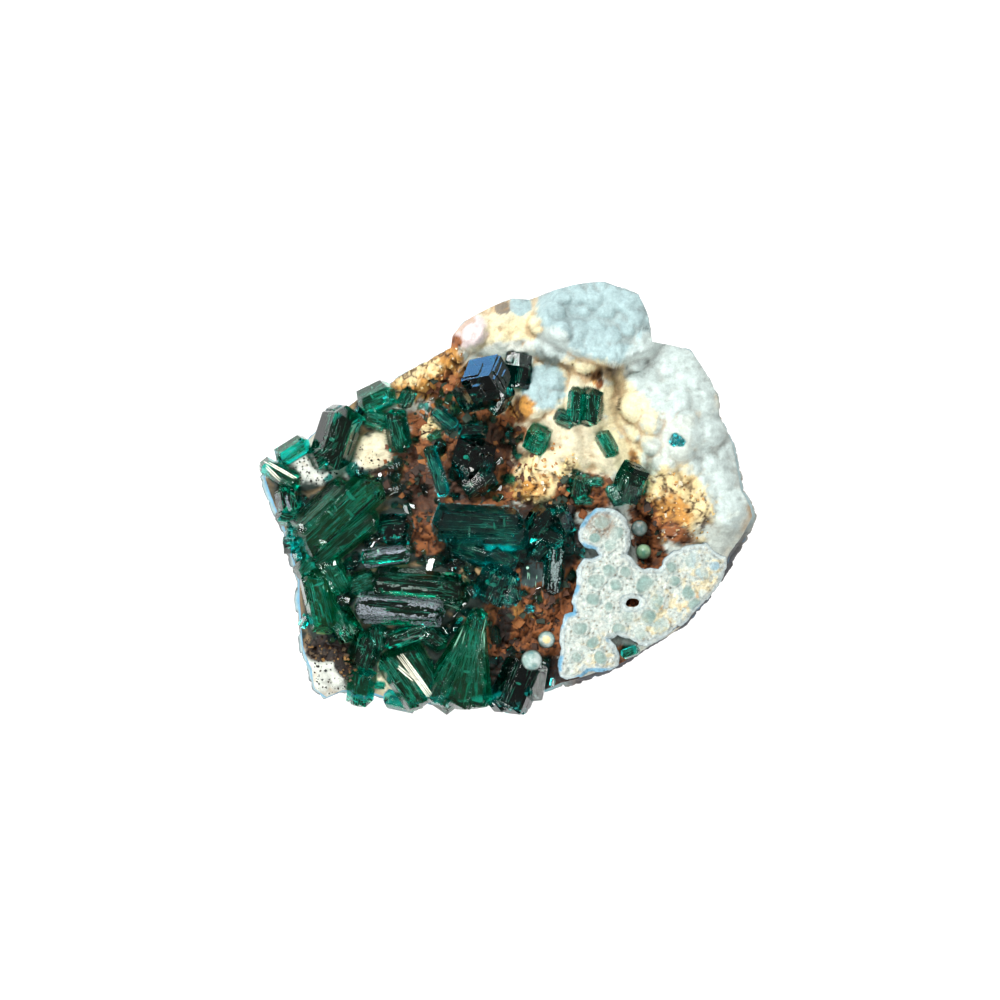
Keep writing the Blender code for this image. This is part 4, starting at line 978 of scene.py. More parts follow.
def side_tint(angle, z, share, crack, mark):
    """The painted colour of the rock's side, darker in its cracks."""
    arc = np.degrees(angle)
    spots = np.stack([30 * np.cos(angle), 30 * np.sin(angle), z * 1.6], axis=1)
    wobble = layered_noise(spots, 3.5, 71)
    fine = layered_noise(spots, 0.9, 72)
    left = sector(arc, 195, 62, 14)
    lower_right = sector(arc, -40, 38, 12)
    bottom = sector(arc, -100, 30, 12)
    height = share + 0.05 * wobble
    colour = painted(len(z), (176, 166, 146))
    colour = blend_colour(colour, "cream", clip(0.5 + wobble))
    colour = blend_colour(colour, "tan", smoothstep(fine * 1.4 - 0.1) * 0.6)
    colour = blend_colour(colour, "rust", smoothstep(wobble * 1.8 + fine - 0.4) * 0.75)
    colour = blend_colour(colour, "ochre", smoothstep(0.2 - wobble * 2 + fine - 0.5) * 0.5)
    colour = blend_colour(colour, "brown", crack * 0.55)
    colour = colour * (0.78 + 0.34 * mark)[:, None]
    blue = smoothstep((height - 0.74) / 0.12) * (1 - lower_right)
    colour = blend_colour(colour, "sky_blue", blue)
    colour = blend_colour(colour, "turquoise", smoothstep((height - 0.62) / 0.1) * bottom * 0.8)
    colour = blend_colour(colour, "navy", smoothstep((height - 0.5) / 0.1) * lower_right * 0.85)
    spotted = smoothstep(fine * 2 + wobble - 0.5) * smoothstep((height - 0.6) / 0.1)
    colour = blend_colour(colour, "rim_blue", spotted * lower_right * 0.6)
    bands = 0.5 + 0.5 * np.sin(z * 4.2 + wobble * 5)
    banded = smoothstep((height - 0.45) / 0.1) * lower_right * bands
    colour = blend_colour(colour, "dark", banded * 0.7)
    line = smoothstep(1 - np.abs(height - RIM_SHARE) / 0.045)
    colour = blend_colour(colour, "navy", line * left * 0.9)
    colour = blend_colour(colour, "rim_blue", smoothstep((height - 0.86) / 0.05) * left * 0.9)
    return clip(colour * (1 + 0.12 * fine)[:, None])


def rim_places(cells):
    """Grid places of the rim, anticlockwise."""
    walk = [(cells, j) for j in range(cells)]
    walk += [(i, cells) for i in range(cells, 0, -1)]
    walk += [(0, j) for j in range(cells, 0, -1)]
    walk += [(i, 0) for i in range(cells)]
    return np.array(walk)


def make_rock(look):
    """The rock as one closed skin: its top, its broken side and its flat underside."""
    cells = TOP_CELLS
    angle, share = disc_grid(cells)
    directions, insets = zip(*TOP_INSET)
    inset = np.interp(np.degrees(angle), directions, insets)
    reach = outline_reach(angle.ravel()).reshape(angle.shape)
    x = (share * (reach - inset) * np.cos(angle)).ravel()
    y = (share * (reach - inset) * np.sin(angle)).ravel()
    level, crumb_share = rock_surface(x, y)
    rounding = smoothstep((share.ravel() - 1.0 + EDGE_BAND) / EDGE_BAND) ** 2
    level -= EDGE_ROUNDING * rounding
    grid = level.reshape(angle.shape)
    dent = (blurred(grid, 3) - grid).ravel()
    under = outline_distance(x, y, CRUST_OUTLINE)
    level = np.where(under > -0.1, np.minimum(level, CRUST_SEAT), level)
    level += (CRUST_SEAT - level) * smoothstep((under - 0.1) / 1.2)
    tint = rock_tint(x, y, dent, crumb_share)
    tint = np.where(((under > 0) & (share.ravel() > 0.9))[:, None], linear(PALETTE["brown"]), tint)
    level, tint = under_crystals(x, y, level, tint)

    points = [np.stack([x, y, level], axis=1)]
    faces = [grid_faces(cells + 1, cells + 1)]
    walk = rim_places(cells)
    rim = walk[:, 0] * (cells + 1) + walk[:, 1]
    turn = angle.ravel()[rim]
    far = reach.ravel()[rim]
    high = level[rim]
    rim_inset = inset.ravel()[rim]
    around = len(rim)
    arc_length = np.cumsum(np.hypot(np.diff(x[rim], prepend=x[rim[-1]]),
                                    np.diff(y[rim], prepend=y[rim[-1]])))
    tints = [tint]
    upper = rim
    count = len(x)
    for step in range(1, SIDE_STEPS + 1):
        height_share = 1.0 - step / SIDE_STEPS
        z = high * height_share
        inside = np.interp(height_share, SIDE_SHARES, SIDE_INSETS)
        if height_share > RIM_SHARE:
            inside = rim_inset * (height_share - RIM_SHARE) / (1 - RIM_SHARE)
        rough = np.array([abs(noise.noise(Vector((8 * math.cos(a), 8 * math.sin(a), h * 0.25))))
                          for a, h in zip(turn, z)])
        rough *= SIDE_NOISE * np.interp(height_share, (0, 0.08, 0.52, RIM_SHARE), (0, 1, 1, 0))
        spots = np.stack([far * np.cos(turn), far * np.sin(turn), z], axis=1)
        near, following, mark = scattered_cells(arc_length + 0.6 * soft_noise(spots, 2, 82),
                                                z * 1.3, 2.3, 81)
        fade = math.sin(math.pi * min(1.0, (1 - height_share) * 2.5 + 0.15) / 2)
        crack = smoothstep(1 - (following - near) / 0.16)
        chips = 0.55 * mark + 0.25 * crack
        chips += (0.28 * np.abs(layered_noise(spots, 1.2, 83))
                  + 0.12 * np.abs(layered_noise(spots, 0.5, 84)))
        out = far - inside - rough - chips * fade
        points.append(np.stack([out * np.cos(turn), out * np.sin(turn), z], axis=1))
        tints.append(side_tint(turn, z, np.full(around, height_share), crack, mark))
        lower = count + np.arange(around)
        count += around
        faces.append(np.stack([upper, lower, np.roll(lower, -1), np.roll(upper, -1)], axis=1))
        upper = lower
    edge = points[-1]
    for ring in BOTTOM_RINGS:
        spots = edge * np.array([ring, ring, 1.0])
        pits = 0.10 * clip(layered_noise(spots, 1.6, 91)) * (ring < 0.97)
        points.append(spots + pits[:, None] * np.array([0.0, 0.0, 1.0]))
        tints.append(under_tint(spots[:, 0], spots[:, 1]))
        lower = count + np.arange(around)
        count += around
        faces.append(np.stack([upper, lower, np.roll(lower, -1), np.roll(upper, -1)], axis=1))
        upper = lower
    points.append(np.array([[0.0, 0.0, 0.0]]))
    tints.append(under_tint(np.zeros(1), np.zeros(1)))
    quads = np.concatenate(faces).tolist()
    quads += [[int(a), count, int(b)] for a, b in zip(upper, np.roll(upper, -1))]
    add_piece("rock", np.concatenate(points), quads, look, ["matrix"],
              tints=np.concatenate(tints))


def under_tint(x, y):
    """The painted colour of the flat underside: sawn rock with brown veins."""
    spots = flat(x, y)
    wobble = layered_noise(spots, 5.0, 93)
    colour = painted(len(x), (190, 178, 156))
    colour = blend_colour(colour, "cream", clip(0.5 + 0.9 * wobble))
    veins = 1 - np.abs(soft_noise(spots, 7.0, 94) + 0.4 * soft_noise(spots, 4.0, 95)) / 0.16
    colour = blend_colour(colour, "rust", smoothstep(veins) * 0.55)
    copper = smoothstep(soft_noise(spots, 5.0, 96) * 2 - 0.9)
    return clip(blend_colour(colour, "turquoise", copper * 0.5))


# The crust

CRUST_STEP = 0.115
CRUST_BOX = (5.4, 27.2, -22.6, -0.4)
# Rings down the wall, as shares of its height
CRUST_WALL = (0.82, 0.6, 0.38, 0.18, 0.0)


def crust_height(x, y, inside):
    """The crust's top, and the masks that its colour needs."""
    spots = flat(x, y)
    warped_x = x + 0.35 * soft_noise(spots, 1.3, 101)
    warped_y = y + 0.35 * soft_noise(spots, 1.3, 102)
    level = CRUST_SEAT + GAP + CRUST_THICKNESS - 0.15
    level = level + 0.25 * np.array([noise.noise(Vector((a * 0.4, b * 0.4, 7.0)))
                                     for a, b in zip(x, y)])
    disc = np.zeros_like(x)
    dome = np.zeros_like(x)
    for k, (nodule_x, nodule_y) in enumerate(NODULES):
        size = NODULE_RADIUS * (0.78 + 0.46 * ((k * 0.618) % 1.0))
        away = np.hypot(x - nodule_x, y - nodule_y) / size
        away += 0.26 * soft_noise(spots, 1.0, 103) + 0.04 * soft_noise(spots, 0.3, 108)
        dome = np.maximum(dome, np.sqrt(clip(1.0 - away**2)))
        disc = np.maximum(disc, smoothstep((0.92 - away) / 0.34))
    large, _, large_mark = scattered_cells(warped_x, warped_y, 1.25, 104)
    small, _, small_mark = scattered_cells(warped_x, warped_y, 0.40, 105)
    plain = 1 - disc
    level += 0.42 * dome + plain * (0.26 * domes(large) * (0.4 + large_mark) - 0.10)
    level += (0.04 + 0.08 * plain) * domes(small) * (0.5 + small_mark)
    pore, _, pore_mark = scattered_cells(warped_x, warped_y, 0.55, 106)
    pores = smoothstep((0.08 + 0.14 * pore_mark - pore) / 0.08) * (pore_mark > 0.5) * plain
    level -= 0.26 * pores
    level += 0.05 * layered_noise(spots, 0.35, 107)
    level -= 0.6 * (1 - smoothstep(inside / 0.6)) ** 2
    return level, disc, dome, pores


def crust_tint(x, y, inside, dent, disc, dome, pores):
    """The painted colour of the crust's top, with painted shade in its creases and painted shading on
    its nodules.
    """
    spots = flat(x, y)
    wobble = layered_noise(spots, 2.2, 111)
    fine = layered_noise(spots, 0.32, 117)
    colour = painted(len(x), (196, 208, 200))
    colour = blend_colour(colour, "white", smoothstep(fine * 2.2 + 0.3) * 0.8)
    colour = blend_colour(colour, "tan", smoothstep(-fine * 2.4 - 0.8) * 0.35)
    # Grey-blue in the creases: painted shade
    creases = smoothstep((dent - 0.01) / 0.12)
    colour = blend_colour(colour, (150, 172, 172), creases * 0.6)
    south_east = smoothstep((x - y - 27.0 + 4 * wobble) / 6.0)
    grit = smoothstep(layered_noise(spots, 0.55, 112) * 1.8 + 0.2) * south_east
    colour = blend_colour(colour, "yellow", grit * 0.65)
    stain = smoothstep(layered_noise(spots, 1.1, 118) * 2.2 - 0.9) * south_east
    colour = blend_colour(colour, "ochre", stain * 0.8)
    lobe = smoothstep((2.2 - np.hypot(x - 11.2, y + 3.6) + 0.8 * wobble) / 0.9)
    lobe = lobe * smoothstep(0.7 + 1.2 * fine)
    colour = blend_colour(colour, (138, 116, 92), lobe * 0.75)
    bluish = smoothstep((x - 21.5) / 2.0) * smoothstep((y + 11) / 3.0)
    disc_colour = blend_colour(linear((122, 150, 142)), (132, 164, 176), bluish)
    # Each nodule lighter on its domed top and darker towards its edge: painted shading
    disc_colour = disc_colour * (0.62 + 0.62 * dome + 0.12 * fine)[:, None]
    strength = clip(0.72 + 0.4 * soft_noise(spots, 1.6, 121))
    colour = colour + (disc_colour - colour) * (disc * strength)[:, None]
    colour = blend_colour(colour, "tan", pores * 0.55)
    edge = outline_distance(x, y, CRUST_OUTLINE)
    pale_edge = smoothstep((0.5 - inside) / 0.3)
    colour = blend_colour(colour, (214, 230, 230), pale_edge * 0.8)
    line = smoothstep(1 - np.abs(inside - 0.52) / 0.16)
    colour = blend_colour(colour, (140, 160, 168), line * 0.55)
    to_west = smoothstep((12.5 - x + 2 * wobble) / 3) + smoothstep((-20.6 - y) / 0.6)
    rim = smoothstep((0.55 - edge) / 0.3) * clip(to_west) * smoothstep(wobble * 2.6 + 0.45)
    colour = blend_colour(colour, "rim_blue", rim * 0.9)
    return clip(colour * (1 + 0.10 * fine)[:, None])


def crust_depth(x, y):
    """How far a place lies inside the crust's scalloped edge and outside its hole."""
    spots = flat(x, y)
    reach = outline_distance(x, y, CRUST_OUTLINE)
    scallop, _, _ = scattered_cells(x, y, 1.7, 119)
    reach = reach - 0.42 + 0.50 * domes(scallop, 0.8) - 0.06 * layered_noise(spots, 0.7, 114)
    hole_x, hole_y, half_x, half_y = CRUST_HOLE
    hole = (np.hypot((x - hole_x) / half_x, (y - hole_y) / half_y) - 1.0) * half_y
    return np.minimum(reach, hole + 0.1 * soft_noise(spots, 0.6, 115))


def crust_slope(x, y, step):
    """That depth, and how it changes along x and y."""
    here = crust_depth(x, y)
    slope_x = (crust_depth(x + step, y) - here) / step
    slope_y = (crust_depth(x, y + step) - here) / step
    return here, slope_x, slope_y


def make_crust(look):
    """The crust plate: a grid cut along its edge, with a wall and a flat base."""
    west, east, south, north = CRUST_BOX
    gx, gy = np.meshgrid(np.arange(west, east, CRUST_STEP), np.arange(south, north, CRUST_STEP),
                         indexing="ij")
    inside = crust_depth(gx.ravel(), gy.ravel()).reshape(gx.shape)
    middle = (inside[:-1, :-1] + inside[1:, :-1] + inside[:-1, 1:] + inside[1:, 1:]) / 4
    x, y = gx.ravel().copy(), gy.ravel().copy()
    quads = grid_faces(*gx.shape, keep=middle > 0)
    sides = np.concatenate([quads[:, [k, (k + 1) % 4]] for k in range(4)])
    ordered = np.sort(sides, axis=1)
    _, first, counts = np.unique(ordered, axis=0, return_index=True, return_counts=True)
    border = sides[first[counts == 1]]
    rim = np.unique(border)
    for _ in range(3):
        here, slope_x, slope_y = crust_slope(x[rim], y[rim], 0.02)
        size = np.maximum(slope_x**2 + slope_y**2, 0.3)
        x[rim] -= np.clip(here * slope_x / size, -0.06, 0.06)
        y[rim] -= np.clip(here * slope_y / size, -0.06, 0.06)
    used = np.unique(quads)
    number = np.full(gx.size, -1)
    number[used] = np.arange(len(used))
    x, y = x[used], y[used]
    deep = np.maximum(crust_depth(x, y), 0.0)
    level, disc, dome, pores = crust_height(x, y, deep)
    whole = np.full(gx.size, level.mean())
    whole[used] = level
    dent = (blurred(whole.reshape(gx.shape), 3) - whole.reshape(gx.shape)).ravel()[used]
    tint = crust_tint(x, y, deep, dent, disc, dome, pores)
    quads = number[quads]
    border = number[border]
    base = CRUST_SEAT + GAP

    points = [np.stack([x, y, level], axis=1)]
    tints = [tint]
    faces = [quads]
    count = len(x)
    edge = np.unique(border)
    _, slope_x, slope_y = crust_slope(x[edge], y[edge], 0.05)
    in_hole = 2.0 - np.hypot(x[edge] - CRUST_HOLE[0], y[edge] - CRUST_HOLE[1])
    upper_number = np.arange(len(x))
    for share in CRUST_WALL:
        bulge = 0.10 * math.sin(math.pi * share) - 0.05
        spots = np.stack([x[edge], y[edge], np.full(len(edge), share * 3)], axis=1)
        push = bulge + 0.10 * layered_noise(spots, 0.8, 116)
        px, py = x[edge] - slope_x * push, y[edge] - slope_y * push
        z = base + (level[edge] - base) * share
        if share > 0:
            lower_number = np.full(len(x), -1)
            lower_number[edge] = count + np.arange(len(edge))
            points.append(np.stack([px, py, z], axis=1))
            wall = blend_colour(painted(len(edge), (150, 176, 186)), "ochre",
                                smoothstep(in_hole / 0.4))
            tints.append(blend_colour(wall, "navy", np.full(len(edge), 0.5 * (1 - share))))
            count += len(edge)
        else:
            lower_number = count + np.arange(len(x))
            points.append(np.stack([x, y, np.full(len(x), base)], axis=1))
            tints.append(painted(len(x), (170, 170, 160)))
            count += len(x)
        a, b = border[:, 0], border[:, 1]
        faces.append(np.stack([upper_number[a], lower_number[a], lower_number[b],
                               upper_number[b]], axis=1))
        upper_number = lower_number
    faces.append(upper_number[quads][:, ::-1])
    add_piece("crust_plate", np.concatenate(points), np.concatenate(faces), look,
              ["botryoidal_crust"], tints=np.concatenate(tints))


# The crystals

def mesh_object(name, points, faces):
    """A plain object from corners and faces, with its faces turned outwards."""
    mesh = bpy.data.meshes.new(name)
    mesh.from_pydata([tuple(point) for point in points], [], [list(face) for face in faces])
    bm = bmesh.new()
    bm.from_mesh(mesh)
    bmesh.ops.recalc_face_normals(bm, faces=bm.faces)
    bm.to_mesh(mesh)
    bm.free()
    return put(name, mesh)


def combine(target, others, operation):
    """One exact Boolean of a target with a group of others, which are then removed."""
    if not others:
        return
    group = bpy.data.collections.new("cutters")
    for other in others:
        bpy.context.scene.collection.objects.unlink(other)
        group.objects.link(other)
    bpy.context.scene.collection.children.link(group)
    modifier = target.modifiers.new("cut", "BOOLEAN")
    modifier.operation = operation
    modifier.solver = "EXACT"
    modifier.operand_type = "COLLECTION"
    modifier.collection = group
    graph = bpy.context.evaluated_depsgraph_get()
    result = bpy.data.meshes.new_from_object(target.evaluated_get(graph))
    target.modifiers.clear()
    target.data = result
    for other in others:
        bpy.data.objects.remove(other, do_unlink=True)
    bpy.data.collections.remove(group)


# How much of its length a growth step may fill, and how far towards the faces it is pushed
STEP_REACH = 0.985
STEP_PUSH = 0.86


def growth_steps(prism, random, count):
    """Smaller prisms parallel to one, pushed against its faces."""
    steps = []
    for _ in range(count):
        scale = random.uniform(0.28, 0.72)
        angle = random.uniform(0, 2 * math.pi)
        push = random.uniform(0.86, 1.0) * (1 - scale)
        away = STEP_PUSH * push
        offset_a = math.cos(angle) * away * prism.half_width
        offset_b = math.sin(angle) * away * prism.half_depth
        rise = TIP_RISE * (prism.half_width + prism.half_depth) / 2 / prism.half_length
        longest = STEP_REACH - 0.55 * rise * push
        share = min(random.uniform(0.5, 0.97), longest)
        slide = (longest - share) * random.choice([-1.0, 1.0, 1.0])
        steps.append(prism.points(scale, share, (offset_a, offset_b, slide * prism.half_length)))
    return steps


def chip_cutters(prism, random, count):
    """Shallow scoops out of a prism's edges near its ends."""
    made = []
    points = prism.points(0.93, 0.95)
    for _ in range(count):
        corner = random.integers(0, len(points))
        other = random.integers(0, len(points))
        place = points[corner] + (points[other] - points[corner]) * random.uniform(0, 0.25)
        radius = random.uniform(0.10, 0.2) * (prism.half_width + prism.half_depth)
        bm = bmesh.new()
        bmesh.ops.create_icosphere(bm, subdivisions=1, radius=radius)
        outward = Vector(place) - prism.centre
        outward.normalize()
        for vert in bm.verts:
            vert.co *= random.uniform(0.8, 1.15)
            vert.co += Vector(place) + outward * radius * 0.6
        mesh = bpy.data.meshes.new("chip")
        bm.to_mesh(mesh)
        bm.free()
        made.append(put("chip", mesh))
    return made


def near_rows(rows, other_rows, margin=0.4):
    """The rows of another group whose boxes meet these."""
    boxes = [Prism(row, margin).points() for row in rows]
    low = np.min([points.min(0) for points in boxes], axis=0)
    high = np.max([points.max(0) for points in boxes], axis=0)
    found = []
    for row in other_rows:
        points = Prism(row).points()
        if (points.max(0) > low).all() and (points.min(0) < high).all():
            found.append(row)
    return found


# Inner plates in each prism, by kind; most steps on one; gaps, bevels and joins in millimetres
VEILS = {"bright": 70, "deep": 28, "dark": 8, "teal": 34, "turquoise": 2}
MOST_STEPS = 9
CORE = (0.93, 0.955)
NEIGHBOUR_GAP = 0.05
BEVEL = 0.045
JOIN = 0.004
SHARP = math.radians(12)
PLATE_SIDES = 6
PLATE_HALF = 0.008


def veil_plates(prism, random, count):
    """Thin closed plates inside a prism: cleavage cracks, and fibres along it."""
    points = []
    faces = []
    axis, across, above = (np.array(v) for v in (prism.axis, prism.across, prism.above))
    for k in range(count):
        fibre = k % 12 != 0
        a = random.uniform(-0.6, 0.6) * prism.half_width
        b = random.uniform(0.1, 0.66) * prism.half_depth
        along = random.uniform(-0.6, 0.6) * prism.half_length
        centre = prism.place([(a, b, along)])[0]
        if fibre:
            first = axis * prism.half_length * random.uniform(0.06, 0.34)
            second = across * random.uniform(0.012, 0.04)
        else:
            lean = math.radians(random.choice([0, 120, 240]) + random.uniform(-6, 6))
            slant = across * math.cos(lean) + above * math.sin(lean)
            flat_way = np.cross(axis, slant)
            first = flat_way * prism.half_width * random.uniform(0.10, 0.30)
            second = (slant * 0.8 + axis * 0.6) * prism.half_width * random.uniform(0.05, 0.16)
        normal = np.cross(first, second)
        normal *= PLATE_HALF / np.linalg.norm(normal)
        corners = PLATE_SIDES
        turns = [2 * math.pi * (n + random.uniform(-0.3, 0.3)) / corners for n in range(corners)]
        ring = [first * math.cos(t) + second * math.sin(t) for t in turns]
        start = len(points)
        points += [centre + place + normal for place in ring]
        points += [centre + place - normal for place in ring]
        faces.append([start + n for n in range(corners)])
        faces.append([start + corners + n for n in reversed(range(corners))])
        for n in range(corners):
            after = (n + 1) % corners
            faces.append([start + n, start + corners + n, start + corners + after, start + after])
    return points, faces


# The finished skin of each node's crystals, for what lies on them
SURFACES = {}


def make_group(name, looks, veil, earlier, seed):
    """One node's crystals as one joined solid with steps, chips and fine bevels."""
    random = np.random.default_rng(seed)
    rows = CRYSTALS[name]
    prisms = PRISMS[name]
    kind = GROUP_OF.get(name, "deep")
    solid = mesh_object(name + "_crystals", prisms[0].points(*CORE), PRISM_FACES)
    parts = [mesh_object("part", prism.points(*CORE), PRISM_FACES) for prism in prisms[1:]]
    for prism in prisms:
        size = prism.half_width * prism.half_length
        count = int(np.clip(size * 0.9, 2, MOST_STEPS))
        for corners in growth_steps(prism, random, count):
            parts.append(mesh_object("step", corners, PRISM_FACES))
    combine(solid, parts, "UNION")
    cutters = []
    for prism in prisms:
        cutters += chip_cutters(prism, random, 3 if prism.half_width > 1.2 else 1)
    combine(solid, cutters, "DIFFERENCE")
    walls = [mesh_object("wall", Prism(row, NEIGHBOUR_GAP).points(), PRISM_FACES)
             for row in near_rows(rows, earlier)]
    middles = np.array([row[:2] for row in rows])
    if (outline_distance(middles[:, 0], middles[:, 1], CRUST_OUTLINE) > -4).any():
        walls.append(crust_block())
    combine(solid, walls, "DIFFERENCE")

    bm = bmesh.new()
    bm.from_mesh(solid.data)
    bmesh.ops.remove_doubles(bm, verts=bm.verts, dist=JOIN)
    bmesh.ops.dissolve_degenerate(bm, edges=bm.edges, dist=JOIN)
    drop_crumbs(bm)
    sharp = [edge for edge in bm.edges if len(edge.link_faces) == 2
             and edge.calc_face_angle(0.0) > SHARP]
    bmesh.ops.bevel(bm, geom=sharp, offset=BEVEL, segments=1, affect="EDGES",
                    clamp_overlap=True, profile=0.5)
    bmesh.ops.triangulate(bm, faces=[face for face in bm.faces if len(face.verts) > 4])
    SURFACES[name] = BVHTree.FromBMesh(bm)
    for prism in prisms:
        points, faces = veil_plates(prism, random, VEILS[kind])
        verts = [bm.verts.new(point) for point in points]
        for face in faces:
            made = bm.faces.new([verts[n] for n in face])
            made.material_index = 1
    bm.verts.index_update()
    grain = bm.verts.layers.float_vector.new("grain")
    places = np.array([vert.co for vert in bm.verts])
    best = np.full(len(places), 1e9)
    local = np.zeros_like(places)
    for k, prism in enumerate(prisms):
        normals, offsets = prism.planes()
        reach = (places @ normals.T - offsets).max(axis=1)
        closer = reach < best
        best = np.where(closer, reach, best)
        local = np.where(closer[:, None], prism.local(places) + 17.0 * k, local)
    for vert, value in zip(bm.verts, local):
        vert[grain] = value
    bmesh.ops.scale(bm, vec=(MM, MM, MM), verts=bm.verts)
    mesh = bpy.data.meshes.new(solid.name)
    bm.to_mesh(mesh)
    bm.free()
    solid.data = mesh
    mesh.materials.append(looks[kind])
    mesh.materials.append(veil)
    place_piece(solid, [name])


def drop_crumbs(bm):
    """Keeps the largest of the loose bodies."""
    left = set(bm.faces)
    bodies = []
    while left:
        body = set()
        front = [left.pop()]
        while front:
            face = front.pop()
            body.add(face)
            for edge in face.edges:
                for other in edge.link_faces:
                    if other in left:
                        left.remove(other)
                        front.append(other)
        bodies.append(body)
    bodies.sort(key=lambda body: sum(face.calc_area() for face in body))
    small = [face for body in bodies[:-1] for face in body]
    if small:
        bmesh.ops.delete(bm, geom=small, context="FACES")


def crust_block():
    """A tall block over the crust's outline."""
    count = len(CRUST_OUTLINE)
    points = [(x, y, CRUST_SEAT) for x, y in CRUST_OUTLINE]
    points += [(x, y, 30.0) for x, y in CRUST_OUTLINE]
    faces = [list(range(count)), list(range(count, 2 * count))]
    for k in range(count):
        after = (k + 1) % count
        faces.append([k, after, count + after, count + k])
    return mesh_object("block", points, faces)


# Small things that lie on the rock and between the crystals

def scatter(zones, count, random):
    """Random places inside ellipses, with the height of what lies there."""
    xs = []
    ys = []
    for centre_x, centre_y, half_x, half_y, heading in zones:
        share = int(count * half_x * half_y / sum(zone[2] * zone[3] for zone in zones)) + 1
        angle = random.uniform(0, 2 * math.pi, share)
        away = np.sqrt(random.uniform(0, 1, share))
        turn = math.radians(heading)
        along, across = away * np.cos(angle) * half_x, away * np.sin(angle) * half_y
        xs.append(centre_x + along * math.cos(turn) - across * math.sin(turn))
        ys.append(centre_y + along * math.sin(turn) + across * math.cos(turn))
    x, y = np.concatenate(xs), np.concatenate(ys)
    angle, reach = np.arctan2(y, x), np.hypot(x, y)
    hole = np.hypot((x - CRUST_HOLE[0]) / CRUST_HOLE[2], (y - CRUST_HOLE[1]) / CRUST_HOLE[3]) < 1
    free = (reach < outline_reach(angle) - 1.2)
    free &= hole | (outline_distance(x, y, CRUST_OUTLINE) < -0.4)
    level = np.where(hole, CRUST_SEAT, rock_surface(x, y)[0])
    free &= crystal_tops(x, y) < level - 0.2
    return x[free], y[free], level[free]


def grain_mesh(x, y, z, sizes, flatness, random):
    """Angular grains, each a rough block turned its own way."""
    bm = bmesh.new()
    bmesh.ops.create_cube(bm, size=1.3)
    bmesh.ops.triangulate(bm, faces=bm.faces)
    ways = np.array([vert.co for vert in bm.verts])
    sides = np.array([[vert.index for vert in face.verts] for face in bm.faces])
    bm.free()
    points = []
    for k in range(len(x)):
        shape = ways * random.uniform(0.45, 1.15, (len(ways), 3))
        shape = shape * np.array([1.0, random.uniform(0.5, 1.0), flatness * random.uniform(0.6, 1.2)])
        lean = Matrix.Rotation(random.uniform(-0.5, 0.5), 3, "X") @ Matrix.Rotation(
            random.uniform(0, 6.28), 3, "Z")
        points.append(shape @ np.array(lean) * sizes[k] + np.array([x[k], y[k], z[k]]))
    faces = (np.arange(len(x))[:, None, None] * len(ways) + sides[None]).reshape(-1, 3)
    return np.concatenate(points), faces


def add_grains(look, name, zones, count, size, flatness, colours, seed, lift=0.0):
    """One piece of loose grains in mixed colours, heaped up by a lift."""
    random = np.random.default_rng(seed)
    x, y, z = scatter(zones, count, random)
    z = z + random.uniform(0.0, lift, len(z))
    sizes = random.uniform(*size, len(x)) * random.uniform(0.6, 1.0, len(x))
    points, faces = grain_mesh(x, y, z + 0.1 * sizes, sizes, flatness, random)
    choice = linear(colours)[random.integers(0, len(colours), len(x))]
    choice = choice * random.uniform(0.7, 1.15, (len(x), 1))
    tints = np.repeat(clip(choice), len(points) // len(x), axis=0)
    add_piece(name, points, faces, look, smooth=False, tints=tints)


# Zones of small things: x, y, half length, half width and heading
RUST_ZONES = ((-6.0, 4.6, 9.5, 8.0, 20), (-10.4, -4.6, 3.0, 3.0, 0), (1.6, -15.2, 5.4, 5.4, 20),
              (4.8, -11.6, 3.0, 2.4, 10), (9.8, 0.6, 4.4, 2.6, 5), (17.0, -4.6, 2.0, 4.6, 12),
              (-6.6, 12.2, 3.4, 3.4, 40), (-2.0, -7.0, 6.0, 3.0, 0))
OCHRE_ZONES = ((4.6, 2.4, 4.6, 4.2, 30), (20.0, -1.4, 5.6, 4.4, -35), (-10.4, 15.0, 5.4, 3.2, 28),
               (-9.2, 8.4, 1.8, 1.5, 0))
CLUMP_ZONES = ((-21.6, -18.0, 3.8, 1.9, 12), (-19.6, -20.4, 1.4, 2.6, 30))
HOLE_ZONES = ((15.2, -12.8, 0.75, 0.5, 0),)
SPECK_ZONES = ((-21.5, 4.2, 6.0, 3.2, -4), (-22.6, -20.4, 3.4, 4.4, 20),
               (-18.4, -20.4, 1.4, 2.6, 30))
INFILL_ZONES = ((-20.0, -4.4, 9.6, 7.0, 40), (-16.0, -11.6, 13.0, 6.6, -4),
                (-9.0, -20.0, 9.6, 6.0, 5), (-24.0, -10.0, 2.4, 5.0, 0), (1.0, -7.0, 8.0, 4.6, 0),
                (-18.0, 11.0, 4.0, 2.4, 30), (2.0, -22.6, 4.0, 3.0, 10), (-26.6, -1.6, 2.0, 3.0, 0))
FRAGMENT_ZONES = ((-6.5, 5.0, 8.5, 7.5, 20), (-8.0, 11.0, 4.0, 3.0, 20), (4.0, -12.0, 3.0, 2.0, 0))


